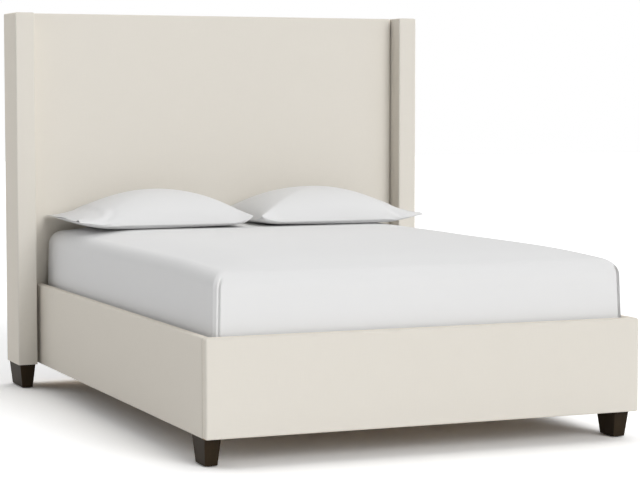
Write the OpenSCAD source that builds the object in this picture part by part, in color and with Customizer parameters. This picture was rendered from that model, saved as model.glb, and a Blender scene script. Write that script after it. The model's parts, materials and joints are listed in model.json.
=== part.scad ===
// Upholstered bed with a tall winged headboard, a mattress in a fitted sheet and two pillows.
// The origin is on the floor under the middle of the bed. +Y points from the foot to the headboard,
// +X to the right seen from the foot, +Z up. Left pieces are drawn and right pieces are their mirror image.

/* [Mattress] */
// Width of the mattress
mattress_w = 1524; // [1300:1:1560]
// Length of the mattress
mattress_l = 2032; // [1880:1:2120]
// Height of the mattress side, up to the end of the rolled edge
mattress_h = 303; // [220:1:360]
// Rise of the middle of the mattress above its rolled edge
mattress_crown = 21; // [4:1:30]
// Radius of the mattress corners seen from above
mattress_corner_r = 32; // [20:1:90]
// Radius of the rolled top edge
mattress_roll_r = 60; // [30:1:80]
// Radius of the bottom edge
mattress_base_r = 16; // [8:1:30]
// How far the mattress side is drawn in at mid height
mattress_waist = 5; // [0:1:10]
// How far the foot of the rolled top edge is drawn in
mattress_lean = 8; // [0:1:15]
// Width of the band over which the top rises to its crown
crown_run = 190; // [60:1:240]
// Gap between each side of the mattress and the rail
side_gap = 11; // [6:1:25]
// Gap between the mattress and the footboard
foot_gap = 10; // [6:1:30]
// Gap between the mattress and the headboard
head_gap = 35; // [10:1:60]
// How deep the mattress sits below the top of the rails
mattress_drop = 86; // [40:1:100]

/* [Bedding] */
// Thickness of the fitted sheet
sheet_t = 1.2; // [0.8:0.1:2]
// Width of the sheet's hem under the mattress
sheet_hem = 90; // [40:1:150]
// Length of a pillow
pillow_l = 660; // [500:1:680]
// Depth of a pillow
pillow_d = 496; // [400:1:520]
// Height of a pillow at its crown
pillow_h = 146; // [110:1:200]
// Height of a pillow's side seam above the mattress
pillow_seam_z = 39; // [30:1:80]
// How far the long sides of a pillow are drawn in
pillow_draw = 14; // [0:1:30]
// Length of the flat hem of a pillowcase beyond the pillow
case_hem = 68; // [20:1:75]
// Thickness of the pillowcase cloth
case_t = 1.2; // [0.8:0.1:2]
// Gap between the two pillowcases
pillow_spacing = 40; // [10:1:80]
// How far the pair of pillows lies to the right of the middle
pillow_shift = -11; // [-30:1:30]
// Gap between a pillow and the headboard
pillow_back_gap = 16; // [5:1:40]

/* [Rails and footboard] */
// Height of the side rails and the footboard
rail_h = 328; // [300:1:380]
// Thickness of the rail board
rail_board_t = 20; // [16:1:30]
// Thickness of the foam on a rail
rail_pad_t = 5; // [3:1:12]
// Thickness of the footboard's board
foot_board_t = 25; // [18:1:40]
// Thickness of the foam on the footboard
foot_pad_t = 8; // [5:1:20]
// Thickness of the upholstery fabric
cover_t = 1; // [0.8:0.1:2]
// Radius of the outer top edge of a rail
rail_top_r = 8; // [3:1:10]
// Radius of the inner top edge of a rail
rail_inner_r = 5; // [2:1:6]
// Radius of the outer bottom edge of a rail
rail_base_r = 4; // [2:1:6]
// Radius of the front top edge of the footboard
foot_top_r = 12; // [4:1:14]
// Radius of the back top edge of the footboard
foot_inner_r = 8; // [2:1:9]
// Radius of the front bottom edge of the footboard
foot_base_r = 6; // [2:1:9]

/* [Headboard] */
// Height of the headboard and its wings above the floor
head_h = 1536; // [1100:1:1700]
// Thickness of the foam on the headboard
head_pad_t = 36; // [20:1:50]
// Thickness of the headboard's face board
face_board_t = 12; // [9:1:18]
// Depth of the headboard's timber frame
head_frame_d = 64; // [45:1:90]
// Width of the headboard's stiles
stile_w = 60; // [45:1:90]
// Height of the headboard's cross rails
cross_rail_h = 70; // [45:1:110]
// Height of the middle cross rail above the bottom of the upholstery
middle_rail_lift = 520; // [350:1:620]
// Height of the board that the side rails are fixed to
fixing_board_h = 330; // [300:1:380]
// Foam over the top edge of the headboard and the wings
top_pad_t = 12; // [6:1:25]

/* [Wings] */
// Thickness of a wing
wing_t = 78; // [66:1:110]
// How far the wings reach in front of the headboard
wing_reach = 84; // [50:1:160]
// Gap between a side rail and the wing beside it
wing_gap = 16; // [4:1:20]
// Foam on the two faces of a wing
wing_pad_t = 8; // [5:1:14]
// Foam on the front edge of a wing
wing_front_pad_t = 12; // [8:1:20]
// Radius of a wing's front edges
wing_front_r = 12; // [4:1:14]
// Radius of a wing's back edges
wing_back_r = 8; // [2:1:9]
// Thickness of the thin boards on a wing's frame
wing_skin_t = 4; // [3:1:6]
// Depth of a wing's uprights
wing_post_d = 44; // [35:1:50]
// Number of cross blocks in a wing
wing_rib_count = 5; // [3:1:8]
// Height of a cross block
wing_rib_h = 30; // [20:1:50]
// Height of the lowest cross block, which takes the leg's bolts
wing_base_rib_h = 60; // [50:1:90]

/* [Legs] */
// Height of the legs with their glides
leg_h = 98; // [70:1:160]
// Width of a foot leg at its top
foot_leg_top_w = 58; // [45:1:62]
// Depth of a foot leg at its top
foot_leg_top_d = 128; // [100:1:140]
// Width of a foot leg at the floor
foot_leg_base_w = 44; // [32:1:58]
// Depth of a foot leg at the floor
foot_leg_base_d = 93; // [80:1:120]
// How far a foot leg stands in from the side of the rail
foot_leg_inset = 11; // [0:1:16]
// How far a foot leg stands back from the front of the footboard
foot_leg_setback = 45; // [36:1:48]
// How far a wing leg's top stands in from the two faces of the wing
wing_leg_side_inset = 7; // [2:1:12]
// How far a wing leg's top stands in from the front and back of the wing
wing_leg_end_inset = 9; // [2:1:20]
// How far each side of a wing leg tapers in at the floor
wing_leg_side_taper = 10; // [0:1:12]
// How far the front and the back of a wing leg taper in at the floor
wing_leg_end_taper = 8.5; // [0:0.5:20]
// Thickness of the glides under the legs
glide_t = 3; // [2:1:6]
// Radius of the glides
glide_r = 10; // [6:1:14]
// Distance between the two glides of a leg
glide_pitch = 56; // [40:1:60]
// Distance between the two bolts of a leg
leg_bolt_pitch = 56; // [36:1:60]
// Length of the corner blocks along the rail
corner_block_l = 150; // [142:1:200]
// Width of the corner blocks
corner_block_w = 60; // [48:1:80]
// Height of the corner blocks
corner_block_h = 60; // [50:1:80]

/* [Mattress support] */
// Number of slats
slat_count = 15; // [10:1:17]
// Width of a slat
slat_w = 68; // [50:1:80]
// Thickness of a slat
slat_t = 18; // [14:1:24]
// Gap between a slat's end and the rail
slat_end_gap = 3; // [1:0.5:8]
// Gap between the last slat and the board behind it, at each end of the bed
slat_margin = 12; // [5:1:30]
// Width of a ledger
ledger_w = 25; // [20:1:28]
// Height of a ledger
ledger_h = 40; // [30:1:50]
// Width of the centre beam
beam_w = 60; // [45:1:80]
// Height of the centre beam
beam_h = 70; // [50:1:100]
// Width of the webbing straps under the slats
strap_w = 25; // [20:1:40]
// Thickness of the webbing
strap_t = 1.5; // [1:0.1:3]
// Distance of a webbing strap from the middle of the bed
strap_x = 380; // [200:1:600]

/* [Centre legs] */
// Width of a centre leg, which is square
centre_leg_w = 50; // [40:1:60]
// Distance of each centre leg from the middle of the bed's length
centre_leg_y = 350; // [200:1:700]
// Radius of a levelling foot
lev_foot_r = 22; // [18:1:28]
// Thickness of a levelling foot's disc
lev_foot_h = 8; // [6:1:12]
// Radius of the hub on a levelling foot
lev_hub_r = 9; // [8:0.5:12]
// Height of the hub on a levelling foot
lev_hub_h = 4; // [3:1:8]
// Height of the hexagonal collar on the threaded stem
lev_collar_h = 5; // [4:1:8]
// Radius of the collar across its corners
lev_collar_r = 8; // [7:0.5:10]
// Radius of the threaded stem
lev_stem_r = 4; // [3:0.5:5]
// Length of thread above the collar
lev_thread_l = 50; // [40:1:60]
// Thickness of the flange of the threaded insert
insert_flange_t = 2; // [1.5:0.5:3]
// Radius of the flange of the threaded insert
insert_flange_r = 12; // [10:0.5:16]
// Length of the threaded insert's barrel
insert_l = 20; // [14:1:26]

/* [Hardware] */
// Length of each arm of a corner bracket
bracket_arm = 45; // [38:1:60]
// Thickness of a corner bracket
bracket_t = 4; // [3:0.5:6]
// Height of a corner bracket
bracket_h = 90; // [70:1:110]
// Distance of a bracket's bolts from the corner
bracket_bolt_in = 27; // [18:1:36]
// How far a bracket's bolts enter the boards
bracket_bolt_grip = 15; // [10:1:15]
// Radius of the bolts
bolt_r = 4; // [3:0.5:4]
// Radius of the bolt heads
bolt_head_r = 7; // [6:0.5:8]
// Height of the bolt heads
bolt_head_h = 4; // [3:0.5:5]
// Length of a leg's bolt on each side of the joint
leg_bolt_half = 44; // [30:1:48]
// Number of bolts that hold each wing
wing_bolt_count = 3; // [2:1:5]
// How far a wing's bolt enters the upright
wing_bolt_grip = 30; // [20:1:40]
// Height of the lowest wing bolt above the bottom of the wing
wing_bolt_low = 180; // [120:1:260]
// How far the highest wing bolt is below the top of the wing
wing_bolt_high = 180; // [120:1:260]
// Radius of the wood screws
screw_r = 2.2; // [1.8:0.1:2.5]
// Radius of the wood screws' heads
screw_head_r = 4.4; // [3.6:0.1:5]
// Length of the wood screws
screw_l = 38; // [32:1:38]
// Thickness of the steel of a beam hanger
hanger_t = 3; // [2:0.5:4]
// How far a beam hanger reaches under the beam
hanger_reach = 40; // [30:1:60]
// Width of a beam hanger's ears beside the beam
hanger_ear = 22; // [18:1:30]
// Length of a hanger's screws
hanger_screw_l = 20; // [12:1:20]
// Distance of a hanger's screws from its top and bottom
hanger_screw_margin = 14; // [8:1:20]

/* [Hidden] */

// Clearances
soft_gap = 0.3;
bolt_gap = 0.1;
lev_gap = 0.1;
thread_gap = 0.05;
past = 1;

// Smoothness of true round pieces and of the corners of the upholstery outlines
$fn = 48;
arc_steps = 6;

// Rails and footboard
rail_t = rail_board_t + rail_pad_t + 2 * cover_t;
foot_t = foot_board_t + foot_pad_t + 2 * cover_t;
inner_w = mattress_w + 2 * side_gap;
inner_l = foot_gap + mattress_l + head_gap;
frame_w = inner_w + 2 * rail_t;
rail_top = leg_h + rail_h;
rail_edge = cover_t + rail_pad_t;
foot_edge = cover_t + foot_pad_t;
rail_radii = [min(rail_base_r, rail_edge), 0, min(rail_inner_r, rail_edge), rail_top_r];
foot_radii = [min(foot_base_r, foot_edge), 0, min(foot_inner_r, foot_edge), foot_top_r];

// Headboard and wings
head_t = cover_t + head_pad_t + face_board_t + head_frame_d + cover_t;
head_w = frame_w + 2 * wing_gap;
head_roll_r = head_pad_t + cover_t;
head_radii = [head_roll_r, head_roll_r, 0, 0];
wing_d = wing_reach + head_t;
wing_edge = cover_t + wing_pad_t;
wing_radii = [wing_front_r, wing_front_r, min(wing_back_r, wing_edge), min(wing_back_r, wing_edge)];
overall_w = head_w + 2 * wing_t;
overall_d = foot_t + inner_l + head_t;
carcass_top = head_h - cover_t - top_pad_t;

// Places along the bed
front_y = -overall_d / 2;
foot_back_y = front_y + foot_t;
panel_y = foot_back_y + inner_l;
back_y = panel_y + head_t;
wing_y = panel_y - wing_reach;
face_board_y = panel_y + cover_t + head_pad_t;
head_frame_y = face_board_y + face_board_t;

// Wing frame, measured from the wing's front outer corner
wing_x = -overall_w / 2;
wing_core_x = wing_x + cover_t + wing_pad_t;
wing_core_w = wing_t - 2 * (cover_t + wing_pad_t);
wing_core_y = wing_y + cover_t + wing_front_pad_t;
wing_core_d = wing_d - 2 * cover_t - wing_front_pad_t;
wing_post_w = wing_core_w - 2 * wing_skin_t;
wing_rib_d = wing_core_d - 2 * wing_post_d;
wing_bolt_y = wing_core_y + wing_core_d - wing_post_d / 2;
rib_bolt_edge = 14;
wing_leg_bolt_pitch = wing_rib_d - 2 * rib_bolt_edge;

// Mattress support
slat_top = rail_top - mattress_drop;
ledger_top = slat_top - slat_t;
slat_l = inner_w - 2 * slat_end_gap;
slat_y = foot_back_y + slat_margin + slat_w / 2;
slat_pitch = (inner_l - 2 * slat_margin - slat_w) / (slat_count - 1);
beam_z = ledger_top - beam_h;
ledger_end_gap = 2;
ledger_screw_step = 3;
slat_screw_x = inner_w / 2 - ledger_w / 2;

// Bedding
sheet_z = slat_top + soft_gap;
mattress_z = sheet_z + sheet_t + soft_gap;
mattress_y = foot_back_y + foot_gap + mattress_l / 2;
sheet_top = mattress_z + mattress_h + mattress_crown + soft_gap + sheet_t;
pillow_z = sheet_top + soft_gap;
pillow_y = panel_y - pillow_back_gap - pillow_d / 2;
pillow_x = -(pillow_spacing / 2 + pillow_l / 2);

// Legs, with the places of the left ones
foot_leg_pos = [-frame_w / 2 + foot_leg_inset + foot_leg_top_w / 2,
                front_y + foot_leg_setback + foot_leg_top_d / 2];
wing_leg_pos = [wing_x + wing_t / 2, wing_y + wing_d / 2];
corner_block_x = -inner_w / 2;

// Levelling feet
lev_collar_z = lev_foot_h + lev_hub_h + lev_gap;
insert_z = lev_collar_z + lev_collar_h + lev_gap;
centre_leg_z = insert_z + insert_flange_t;
lev_socket_z = lev_foot_h / 2;
insert_wall = 2;
insert_r = lev_stem_r + insert_wall;
stem_room_r = 1;
stem_room_l = 10;

// Hardware
bracket_z = (leg_h + corner_block_h + ledger_top - ledger_h - bracket_h) / 2;
bracket_bolt_margin = 20;
bracket_bolt_l = bracket_t + cover_t + bracket_bolt_grip;
wing_bolt_head_r = bolt_head_r + 1;
wing_bolt_l = stile_w + 2 * cover_t + wing_pad_t + wing_skin_t + wing_bolt_grip;
hanger_top_gap = 3;
hanger_h = beam_h + hanger_t - hanger_top_gap;
hanger_screw_x = beam_w / 2 + hanger_t + hanger_ear / 2;
screw_head_h = 2.4;
skin_fabric = [0.88, 0.86, 0.80];
white_cloth = [0.94, 0.94, 0.95];
foam_yellow = [0.93, 0.86, 0.62];
pine = [0.84, 0.69, 0.48];
plywood = [0.78, 0.62, 0.42];
espresso = [0.19, 0.13, 0.09];
steel = [0.62, 0.64, 0.66];
dark_cloth = [0.20, 0.20, 0.21];

// Outlines with rounded corners
function corner(c, r, a) =
    r > 0.01 ? [for (i = [0:arc_steps]) c + r * [cos(a + 90 * i / arc_steps), sin(a + 90 * i / arc_steps)]]
             : [c];

// A box outline from [0, 0] to size, with four corner radii from the lowest corner anticlockwise,
// drawn in by inset all round
function soft_outline(size, radii, inset = 0) =
    let (q = [for (r = radii) max(r - inset, 0)],
         hi = size - [inset, inset])
    concat(corner([inset + q[0], inset + q[0]], q[0], 180),
           corner([hi.x - q[1], inset + q[1]], q[1], 270),
           corner([hi.x - q[2], hi.y - q[2]], q[2], 0),
           corner([inset + q[3], hi.y - q[3]], q[3], 90));

// Puts a left piece on the left (side = -1) or its mirror image on the right (side = 1)
module at_side(side) {
    if (side < 0) children();
    else mirror([1, 0, 0]) children();
}

// A box from its lowest corner, size and nothing else
module block(corner, size) {
    translate(corner) cube(size);
}

// A bolt or screw along +Z, with its head below z = 0; grow makes it the hole that it runs in
module fastener(r, l, head_r, head_h, grow = 0) {
    translate([0, 0, -head_h / 2]) cylinder(r = r + grow, h = l + head_h / 2);
    translate([0, 0, -head_h]) cylinder(r = head_r + grow, h = head_h);
}

// Side rails

// The rail's profile in X and Z, extruded along the bed
module rail_prism(inset) {
    translate([-frame_w / 2, panel_y, leg_h])
        rotate([90, 0, 0])
            linear_extrude(inner_l)
                polygon(soft_outline([rail_t, rail_h], rail_radii, inset));
}

module rail_core(extra = 0) {
    block([-frame_w / 2 + cover_t + rail_pad_t, foot_back_y - extra, leg_h + cover_t],
          [rail_board_t + extra, inner_l + 2 * extra, rail_h - 2 * cover_t - rail_pad_t]);
}

module rail_cover(side) {
    color(skin_fabric) at_side(side) difference() {
        rail_prism(0);
        translate([0, past, 0]) rail_prism(cover_t);
        translate([0, -past, 0]) rail_prism(cover_t);
        rail_bolts(bolt_gap);
        ledger_screws(bolt_gap);
    }
}

module rail_padding(side) {
    color(foam_yellow) at_side(side) difference() {
        rail_prism(cover_t);
        rail_core(past);
        block([-frame_w / 2 + cover_t + rail_pad_t, foot_back_y - past, leg_h - past],
              [rail_t, inner_l + 2 * past, rail_h / 2]);
    }
}

module rail_board(side) {
    color(plywood) at_side(side) difference() {
        rail_core();
        rail_bolts(bolt_gap);
        ledger_screws(bolt_gap);
    }
}

// Footboard

// The footboard's profile in Y and Z, extruded across the bed
module foot_prism(inset) {
    translate([-frame_w / 2 + inset, front_y, leg_h])
        rotate([90, 0, 90])
            linear_extrude(frame_w - 2 * inset)
                polygon(soft_outline([foot_t, rail_h], foot_radii, inset));
}

module foot_core(extra = 0) {
    block([-frame_w / 2 + cover_t - extra, front_y + cover_t + foot_pad_t, leg_h + cover_t],
          [frame_w - 2 * cover_t + 2 * extra, foot_board_t + extra, rail_h - 2 * cover_t - foot_pad_t]);
}

module footboard_cover() {
    color(skin_fabric) difference() {
        foot_prism(0);
        foot_prism(cover_t);
        foot_fixings(bolt_gap);
    }
}

module footboard_padding() {
    color(foam_yellow) difference() {
        foot_prism(cover_t);
        foot_core(past);
        block([-frame_w / 2 - past, front_y + cover_t + foot_pad_t, leg_h - past],
              [frame_w + 2 * past, foot_t, rail_h / 2]);
    }
}

module footboard_board() {
    color(plywood) difference() {
        foot_core();
        foot_fixings(bolt_gap);
    }
}

// Headboard

// The headboard's plan, extruded upwards from the bottom of the upholstery
module head_prism(inset, top) {
    translate([-head_w / 2, panel_y, leg_h])
        linear_extrude(top - leg_h)
            polygon(soft_outline([head_w, head_t], head_radii, inset));
}

module headboard_cover() {
    color(skin_fabric) difference() {
        head_prism(0, head_h);
        translate([0, 0, -past]) head_prism(cover_t, head_h - cover_t + past);
        block([-head_w / 2 + cover_t, back_y - head_frame_d, leg_h - past],
              [head_w - 2 * cover_t, head_t, head_h - leg_h - cover_t + past]);
        head_fixings(bolt_gap);
        both_sides() wing_bolt_row(bolt_gap);
    }
}

module headboard_padding() {
    color(foam_yellow) difference() {
        head_prism(cover_t, head_h - cover_t);
        block([-head_w / 2, face_board_y, leg_h - past], [head_w, head_t, carcass_top - leg_h + past]);
        block([-head_w / 2 + head_roll_r, panel_y - past, leg_h - past],
              [head_w - 2 * head_roll_r, head_t, fixing_board_h + past]);
    }
}

module headboard_face_board() {
    color(plywood)
        block([-head_w / 2 + cover_t, face_board_y, leg_h],
              [head_w - 2 * cover_t, face_board_t, carcass_top - leg_h]);
}

module headboard_fixing_board() {
    color(pine) difference() {
        block([-head_w / 2 + head_roll_r, panel_y + cover_t, leg_h],
              [head_w - 2 * head_roll_r, head_pad_t, fixing_board_h]);
        head_fixings(bolt_gap);
    }
}

module headboard_stile(side) {
    color(pine) at_side(side) difference() {
        block([-head_w / 2 + cover_t, head_frame_y, leg_h], [stile_w, head_frame_d, carcass_top - leg_h]);
        wing_bolt_row(bolt_gap);
    }
}

module cross_rail(z) {
    color(pine) difference() {
        block([-head_w / 2 + cover_t + stile_w, head_frame_y, z],
              [head_w - 2 * (cover_t + stile_w), head_frame_d, cross_rail_h]);
        both_sides() wing_bolt_row(bolt_gap);
    }
}

module headboard_top_rail() {
    cross_rail(carcass_top - cross_rail_h);
}

module headboard_middle_rail() {
    cross_rail(leg_h + middle_rail_lift);
}

module headboard_bottom_rail() {
    cross_rail(leg_h);
}

module headboard_back_cloth() {
    color(dark_cloth)
        block([-head_w / 2 + cover_t, back_y - cover_t, leg_h],
              [head_w - 2 * cover_t, cover_t, head_h - leg_h - cover_t]);
}

// Wings

// A wing's plan, extruded upwards from the bottom of the upholstery
module wing_prism(inset, top) {
    translate([wing_x, wing_y, leg_h])
        linear_extrude(top - leg_h)
            polygon(soft_outline([wing_t, wing_d], wing_radii, inset));
}

module wing_cover(side) {
    color(skin_fabric) at_side(side) difference() {
        wing_prism(0, head_h);
        translate([0, 0, -past]) wing_prism(cover_t, head_h - cover_t + past);
        wing_bolt_row(bolt_gap);
    }
}

module wing_padding(side) {
    color(foam_yellow) at_side(side) difference() {
        wing_prism(cover_t, head_h - cover_t);
        block([wing_core_x, wing_core_y, leg_h - past],
              [wing_core_w, wing_d, carcass_top - leg_h + past]);
        wing_bolt_row(bolt_gap);
    }
}

module wing_skins(side) {
    color(plywood) at_side(side) difference() {
        for (x = [wing_core_x, wing_core_x + wing_core_w - wing_skin_t])
            block([x, wing_core_y, leg_h], [wing_skin_t, wing_core_d, carcass_top - leg_h]);
        wing_bolt_row(bolt_gap);
    }
}

module wing_posts(side) {
    color(pine) at_side(side) difference() {
        for (y = [wing_core_y, wing_core_y + wing_core_d - wing_post_d])
            block([wing_core_x + wing_skin_t, y, leg_h], [wing_post_w, wing_post_d, carcass_top - leg_h]);
        wing_bolt_row(bolt_gap);
    }
}

module wing_ribs(side) {
    rib_run = carcass_top - wing_rib_h - leg_h;
    color(pine) at_side(side) difference() {
        for (i = [0:wing_rib_count - 1])
            block([wing_core_x + wing_skin_t, wing_core_y + wing_post_d,
                   leg_h + rib_run * i / (wing_rib_count - 1)],
                  [wing_post_w, wing_rib_d, i == 0 ? wing_base_rib_h : wing_rib_h]);
        leg_bolt_pair(wing_leg_pos, wing_leg_bolt_pitch, bolt_gap);
    }
}

// Legs

// One side of a leg, from its glides up
module leg_side(top, base) {
    polygon([[-base / 2, glide_t], [base / 2, glide_t], [top / 2, leg_h], [-top / 2, leg_h]]);
}

// A straight-sided block that tapers from its top to the floor, true and flat on all four sides
module tapered_leg(pos, top, base) {
    translate([pos.x, pos.y, 0]) intersection() {
        translate([0, top.y / 2, 0]) rotate([90, 0, 0]) linear_extrude(top.y)
            leg_side(top.x, base.x);
        translate([-top.x / 2, 0, 0]) rotate([90, 0, 90]) linear_extrude(top.x)
            leg_side(top.y, base.y);
    }
}

module foot_leg(side) {
    color(espresso) at_side(side) difference() {
        tapered_leg(foot_leg_pos, [foot_leg_top_w, foot_leg_top_d], [foot_leg_base_w, foot_leg_base_d]);
        leg_bolt_pair(foot_leg_pos, leg_bolt_pitch, bolt_gap);
    }
}

module wing_leg(side) {
    top = [wing_t, wing_d] - 2 * [wing_leg_side_inset, wing_leg_end_inset];
    base = top - 2 * [wing_leg_side_taper, wing_leg_end_taper];
    color(espresso) at_side(side) difference() {
        tapered_leg(wing_leg_pos, top, base);
        leg_bolt_pair(wing_leg_pos, wing_leg_bolt_pitch, bolt_gap);
    }
}

module corner_block(side) {
    color(pine) at_side(side) difference() {
        block([corner_block_x, foot_back_y, leg_h], [corner_block_w, corner_block_l, corner_block_h]);
        leg_bolt_pair(foot_leg_pos, leg_bolt_pitch, bolt_gap);
    }
}

// Two headless bolts that stand in a leg and in the block above it
module leg_bolt_pair(pos, pitch, grow = 0) {
    for (s = [-1, 1])
        translate([pos.x, pos.y + s * pitch / 2, leg_h - leg_bolt_half - grow])
            cylinder(r = bolt_r + grow, h = 2 * (leg_bolt_half + grow));
}

module leg_bolts() {
    color(steel) both_sides() {
        leg_bolt_pair(foot_leg_pos, leg_bolt_pitch);
        leg_bolt_pair(wing_leg_pos, wing_leg_bolt_pitch);
    }
}

module leg_glides() {
    color(dark_cloth) both_sides()
        for (pos = [foot_leg_pos, wing_leg_pos], s = [-1, 1])
            translate([pos.x, pos.y + s * glide_pitch / 2, 0]) cylinder(r = glide_r, h = glide_t);
}

// Mattress support

module ledger(side) {
    color(pine) at_side(side) difference() {
        block([-inner_w / 2, foot_back_y + ledger_end_gap, ledger_top - ledger_h],
              [ledger_w, inner_l - 2 * ledger_end_gap, ledger_h]);
        slat_screws(bolt_gap);
        ledger_screws(bolt_gap);
    }
}

module centre_beam() {
    color(pine)
        block([-beam_w / 2, foot_back_y + hanger_t, beam_z], [beam_w, inner_l - 2 * hanger_t, beam_h]);
}

// The hanger at the footboard: a plate on the board, a floor under the beam and two cheeks
module beam_hanger() {
    pocket_w = beam_w + 2 * hanger_t;
    difference() {
        union() {
            block([-pocket_w / 2 - hanger_ear, foot_back_y, beam_z - hanger_t],
                  [pocket_w + 2 * hanger_ear, hanger_t, hanger_h]);
            block([-pocket_w / 2, foot_back_y, beam_z - hanger_t], [pocket_w, hanger_reach, hanger_h]);
        }
        block([-beam_w / 2, foot_back_y + hanger_t, beam_z], [beam_w, hanger_reach, hanger_h]);
        hanger_screws(bolt_gap);
    }
}

// Puts a piece of the foot end at the head end too
module both_ends() {
    children();
    translate([0, foot_back_y + panel_y, 0]) mirror([0, 1, 0]) children();
}

module both_sides() {
    for (side = [-1, 1]) at_side(side) children();
}

module beam_hangers() {
    color(steel) both_ends() beam_hanger();
}

module slats() {
    color(pine) difference() {
        for (i = [0:slat_count - 1])
            block([-slat_l / 2, slat_y + i * slat_pitch - slat_w / 2, ledger_top], [slat_l, slat_w, slat_t]);
        both_sides() slat_screws(bolt_gap);
    }
}

module slat_straps() {
    color(dark_cloth) both_sides()
        block([-strap_x - strap_w / 2, slat_y - slat_w / 2, ledger_top - strap_t],
              [strap_w, (slat_count - 1) * slat_pitch + slat_w, strap_t]);
}

// Centre legs with levelling feet; end is -1 for the front leg and 1 for the rear one

module at_centre_leg(end) {
    translate([0, end * centre_leg_y, 0]) children();
}

module centre_leg(end) {
    color(espresso) at_centre_leg(end) difference() {
        block([-centre_leg_w / 2, -centre_leg_w / 2, centre_leg_z],
              [centre_leg_w, centre_leg_w, beam_z - centre_leg_z]);
        translate([0, 0, centre_leg_z - past]) cylinder(r = insert_r + bolt_gap, h = insert_l + past);
        translate([0, 0, centre_leg_z - past])
            cylinder(r = lev_stem_r + stem_room_r, h = lev_thread_l + stem_room_l + past);
    }
}

module leveller_inserts() {
    color(steel) for (end = [-1, 1]) at_centre_leg(end) translate([0, 0, insert_z]) difference() {
        union() {
            cylinder(r = insert_flange_r, h = insert_flange_t);
            cylinder(r = insert_r, h = insert_flange_t + insert_l);
        }
        translate([0, 0, -past]) cylinder(r = lev_stem_r, h = insert_flange_t + insert_l + 2 * past);
    }
}

module leveller_foot(end) {
    color(dark_cloth) at_centre_leg(end) difference() {
        union() {
            cylinder(r = lev_foot_r, h = lev_foot_h);
            cylinder(r = lev_hub_r, h = lev_foot_h + lev_hub_h);
        }
        translate([0, 0, lev_socket_z]) cylinder(r = lev_stem_r, h = lev_foot_h + lev_hub_h);
    }
}

module leveller_stem(end) {
    stem_z = lev_socket_z + lev_gap;
    color(steel) at_centre_leg(end) {
        translate([0, 0, stem_z])
            cylinder(r = lev_stem_r - thread_gap, h = lev_collar_z + lev_collar_h + lev_thread_l - stem_z);
        translate([0, 0, lev_collar_z]) cylinder(r = lev_collar_r, h = lev_collar_h, $fn = 6);
    }
}

// Brackets and their bolts, drawn for the left side and the foot end

module corner_brackets() {
    color(steel) both_sides() both_ends() difference() {
        union() {
            block([-inner_w / 2, foot_back_y, bracket_z], [bracket_arm, bracket_t, bracket_h]);
            block([-inner_w / 2, foot_back_y, bracket_z], [bracket_t, bracket_arm, bracket_h]);
        }
        rail_corner_bolts(bolt_gap);
        end_corner_bolts(bolt_gap);
    }
}

// The two bolts of one bracket that enter the rail
module rail_corner_bolts(grow = 0) {
    for (z = [bracket_z + bracket_bolt_margin, bracket_z + bracket_h - bracket_bolt_margin])
        translate([-inner_w / 2 + bracket_t, foot_back_y + bracket_bolt_in, z]) rotate([0, -90, 0])
            fastener(bolt_r, bracket_bolt_l, bolt_head_r, bolt_head_h, grow);
}

// The two bolts of one bracket that enter the footboard
module end_corner_bolts(grow = 0) {
    for (z = [bracket_z + bracket_bolt_margin, bracket_z + bracket_h - bracket_bolt_margin])
        translate([-inner_w / 2 + bracket_bolt_in, foot_back_y + bracket_t, z]) rotate([90, 0, 0])
            fastener(bolt_r, bracket_bolt_l, bolt_head_r, bolt_head_h, grow);
}

// All the bolts of one rail
module rail_bolts(grow = 0) {
    both_ends() rail_corner_bolts(grow);
}

module bracket_bolts() {
    color(steel) both_sides() both_ends() {
        rail_corner_bolts();
        end_corner_bolts();
    }
}

// All that enters the footboard, and the same at the headboard
module foot_fixings(grow) {
    both_sides() end_corner_bolts(grow);
    hanger_screws(grow);
}

module head_fixings(grow) {
    translate([0, foot_back_y + panel_y, 0]) mirror([0, 1, 0]) foot_fixings(grow);
}

// The bolts that hold the left wing to the headboard's stile
module wing_bolt_row(grow = 0) {
    low = leg_h + wing_bolt_low;
    high = head_h - wing_bolt_high;
    for (i = [0:wing_bolt_count - 1])
        translate([-head_w / 2 + cover_t + stile_w, wing_bolt_y,
                   low + (high - low) * i / (wing_bolt_count - 1)])
            rotate([0, -90, 0])
                fastener(bolt_r, wing_bolt_l, wing_bolt_head_r, bolt_head_h, grow);
}

module wing_bolts() {
    color(steel) both_sides() wing_bolt_row();
}

// Wood screws

module wood_screw(l, grow) {
    fastener(screw_r, l - screw_head_h, screw_head_r, screw_head_h, grow);
}

// The screws that hold the slats to the left ledger, their heads flush with the slats
module slat_screws(grow = 0) {
    for (i = [0:slat_count - 1])
        translate([-slat_screw_x, slat_y + i * slat_pitch, slat_top - screw_head_h]) rotate([180, 0, 0])
            wood_screw(screw_l, grow);
}

// The screws that hold the left ledger to the rail, between the slats
module ledger_screws(grow = 0) {
    for (i = [0:ledger_screw_step:slat_count - 2])
        translate([-inner_w / 2 + ledger_w - screw_head_h, slat_y + (i + 0.5) * slat_pitch,
                   ledger_top - ledger_h / 2])
            rotate([0, -90, 0]) wood_screw(screw_l, grow);
}

// The screws that hold the hanger to the footboard
module hanger_screws(grow = 0) {
    for (x = [-hanger_screw_x, hanger_screw_x], z = [hanger_screw_margin, hanger_h - hanger_screw_margin])
        translate([x, foot_back_y + hanger_t, beam_z - hanger_t + z]) rotate([90, 0, 0])
            fastener(screw_r, hanger_screw_l, screw_head_r, screw_head_h, grow);
}

module wood_screws() {
    color(steel) {
        both_sides() slat_screws();
        both_sides() ledger_screws();
        both_ends() hanger_screws();
    }
}

// Mattress and fitted sheet

// Corner arcs of a horizontal ring that is drawn in by inset from the mattress's side
ring_steps = 6;
ring_points = 4 * (ring_steps + 1);
base_steps = 3;
roll_steps = 6;
crown_steps = 3;
waist_share = 0.42;

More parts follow.
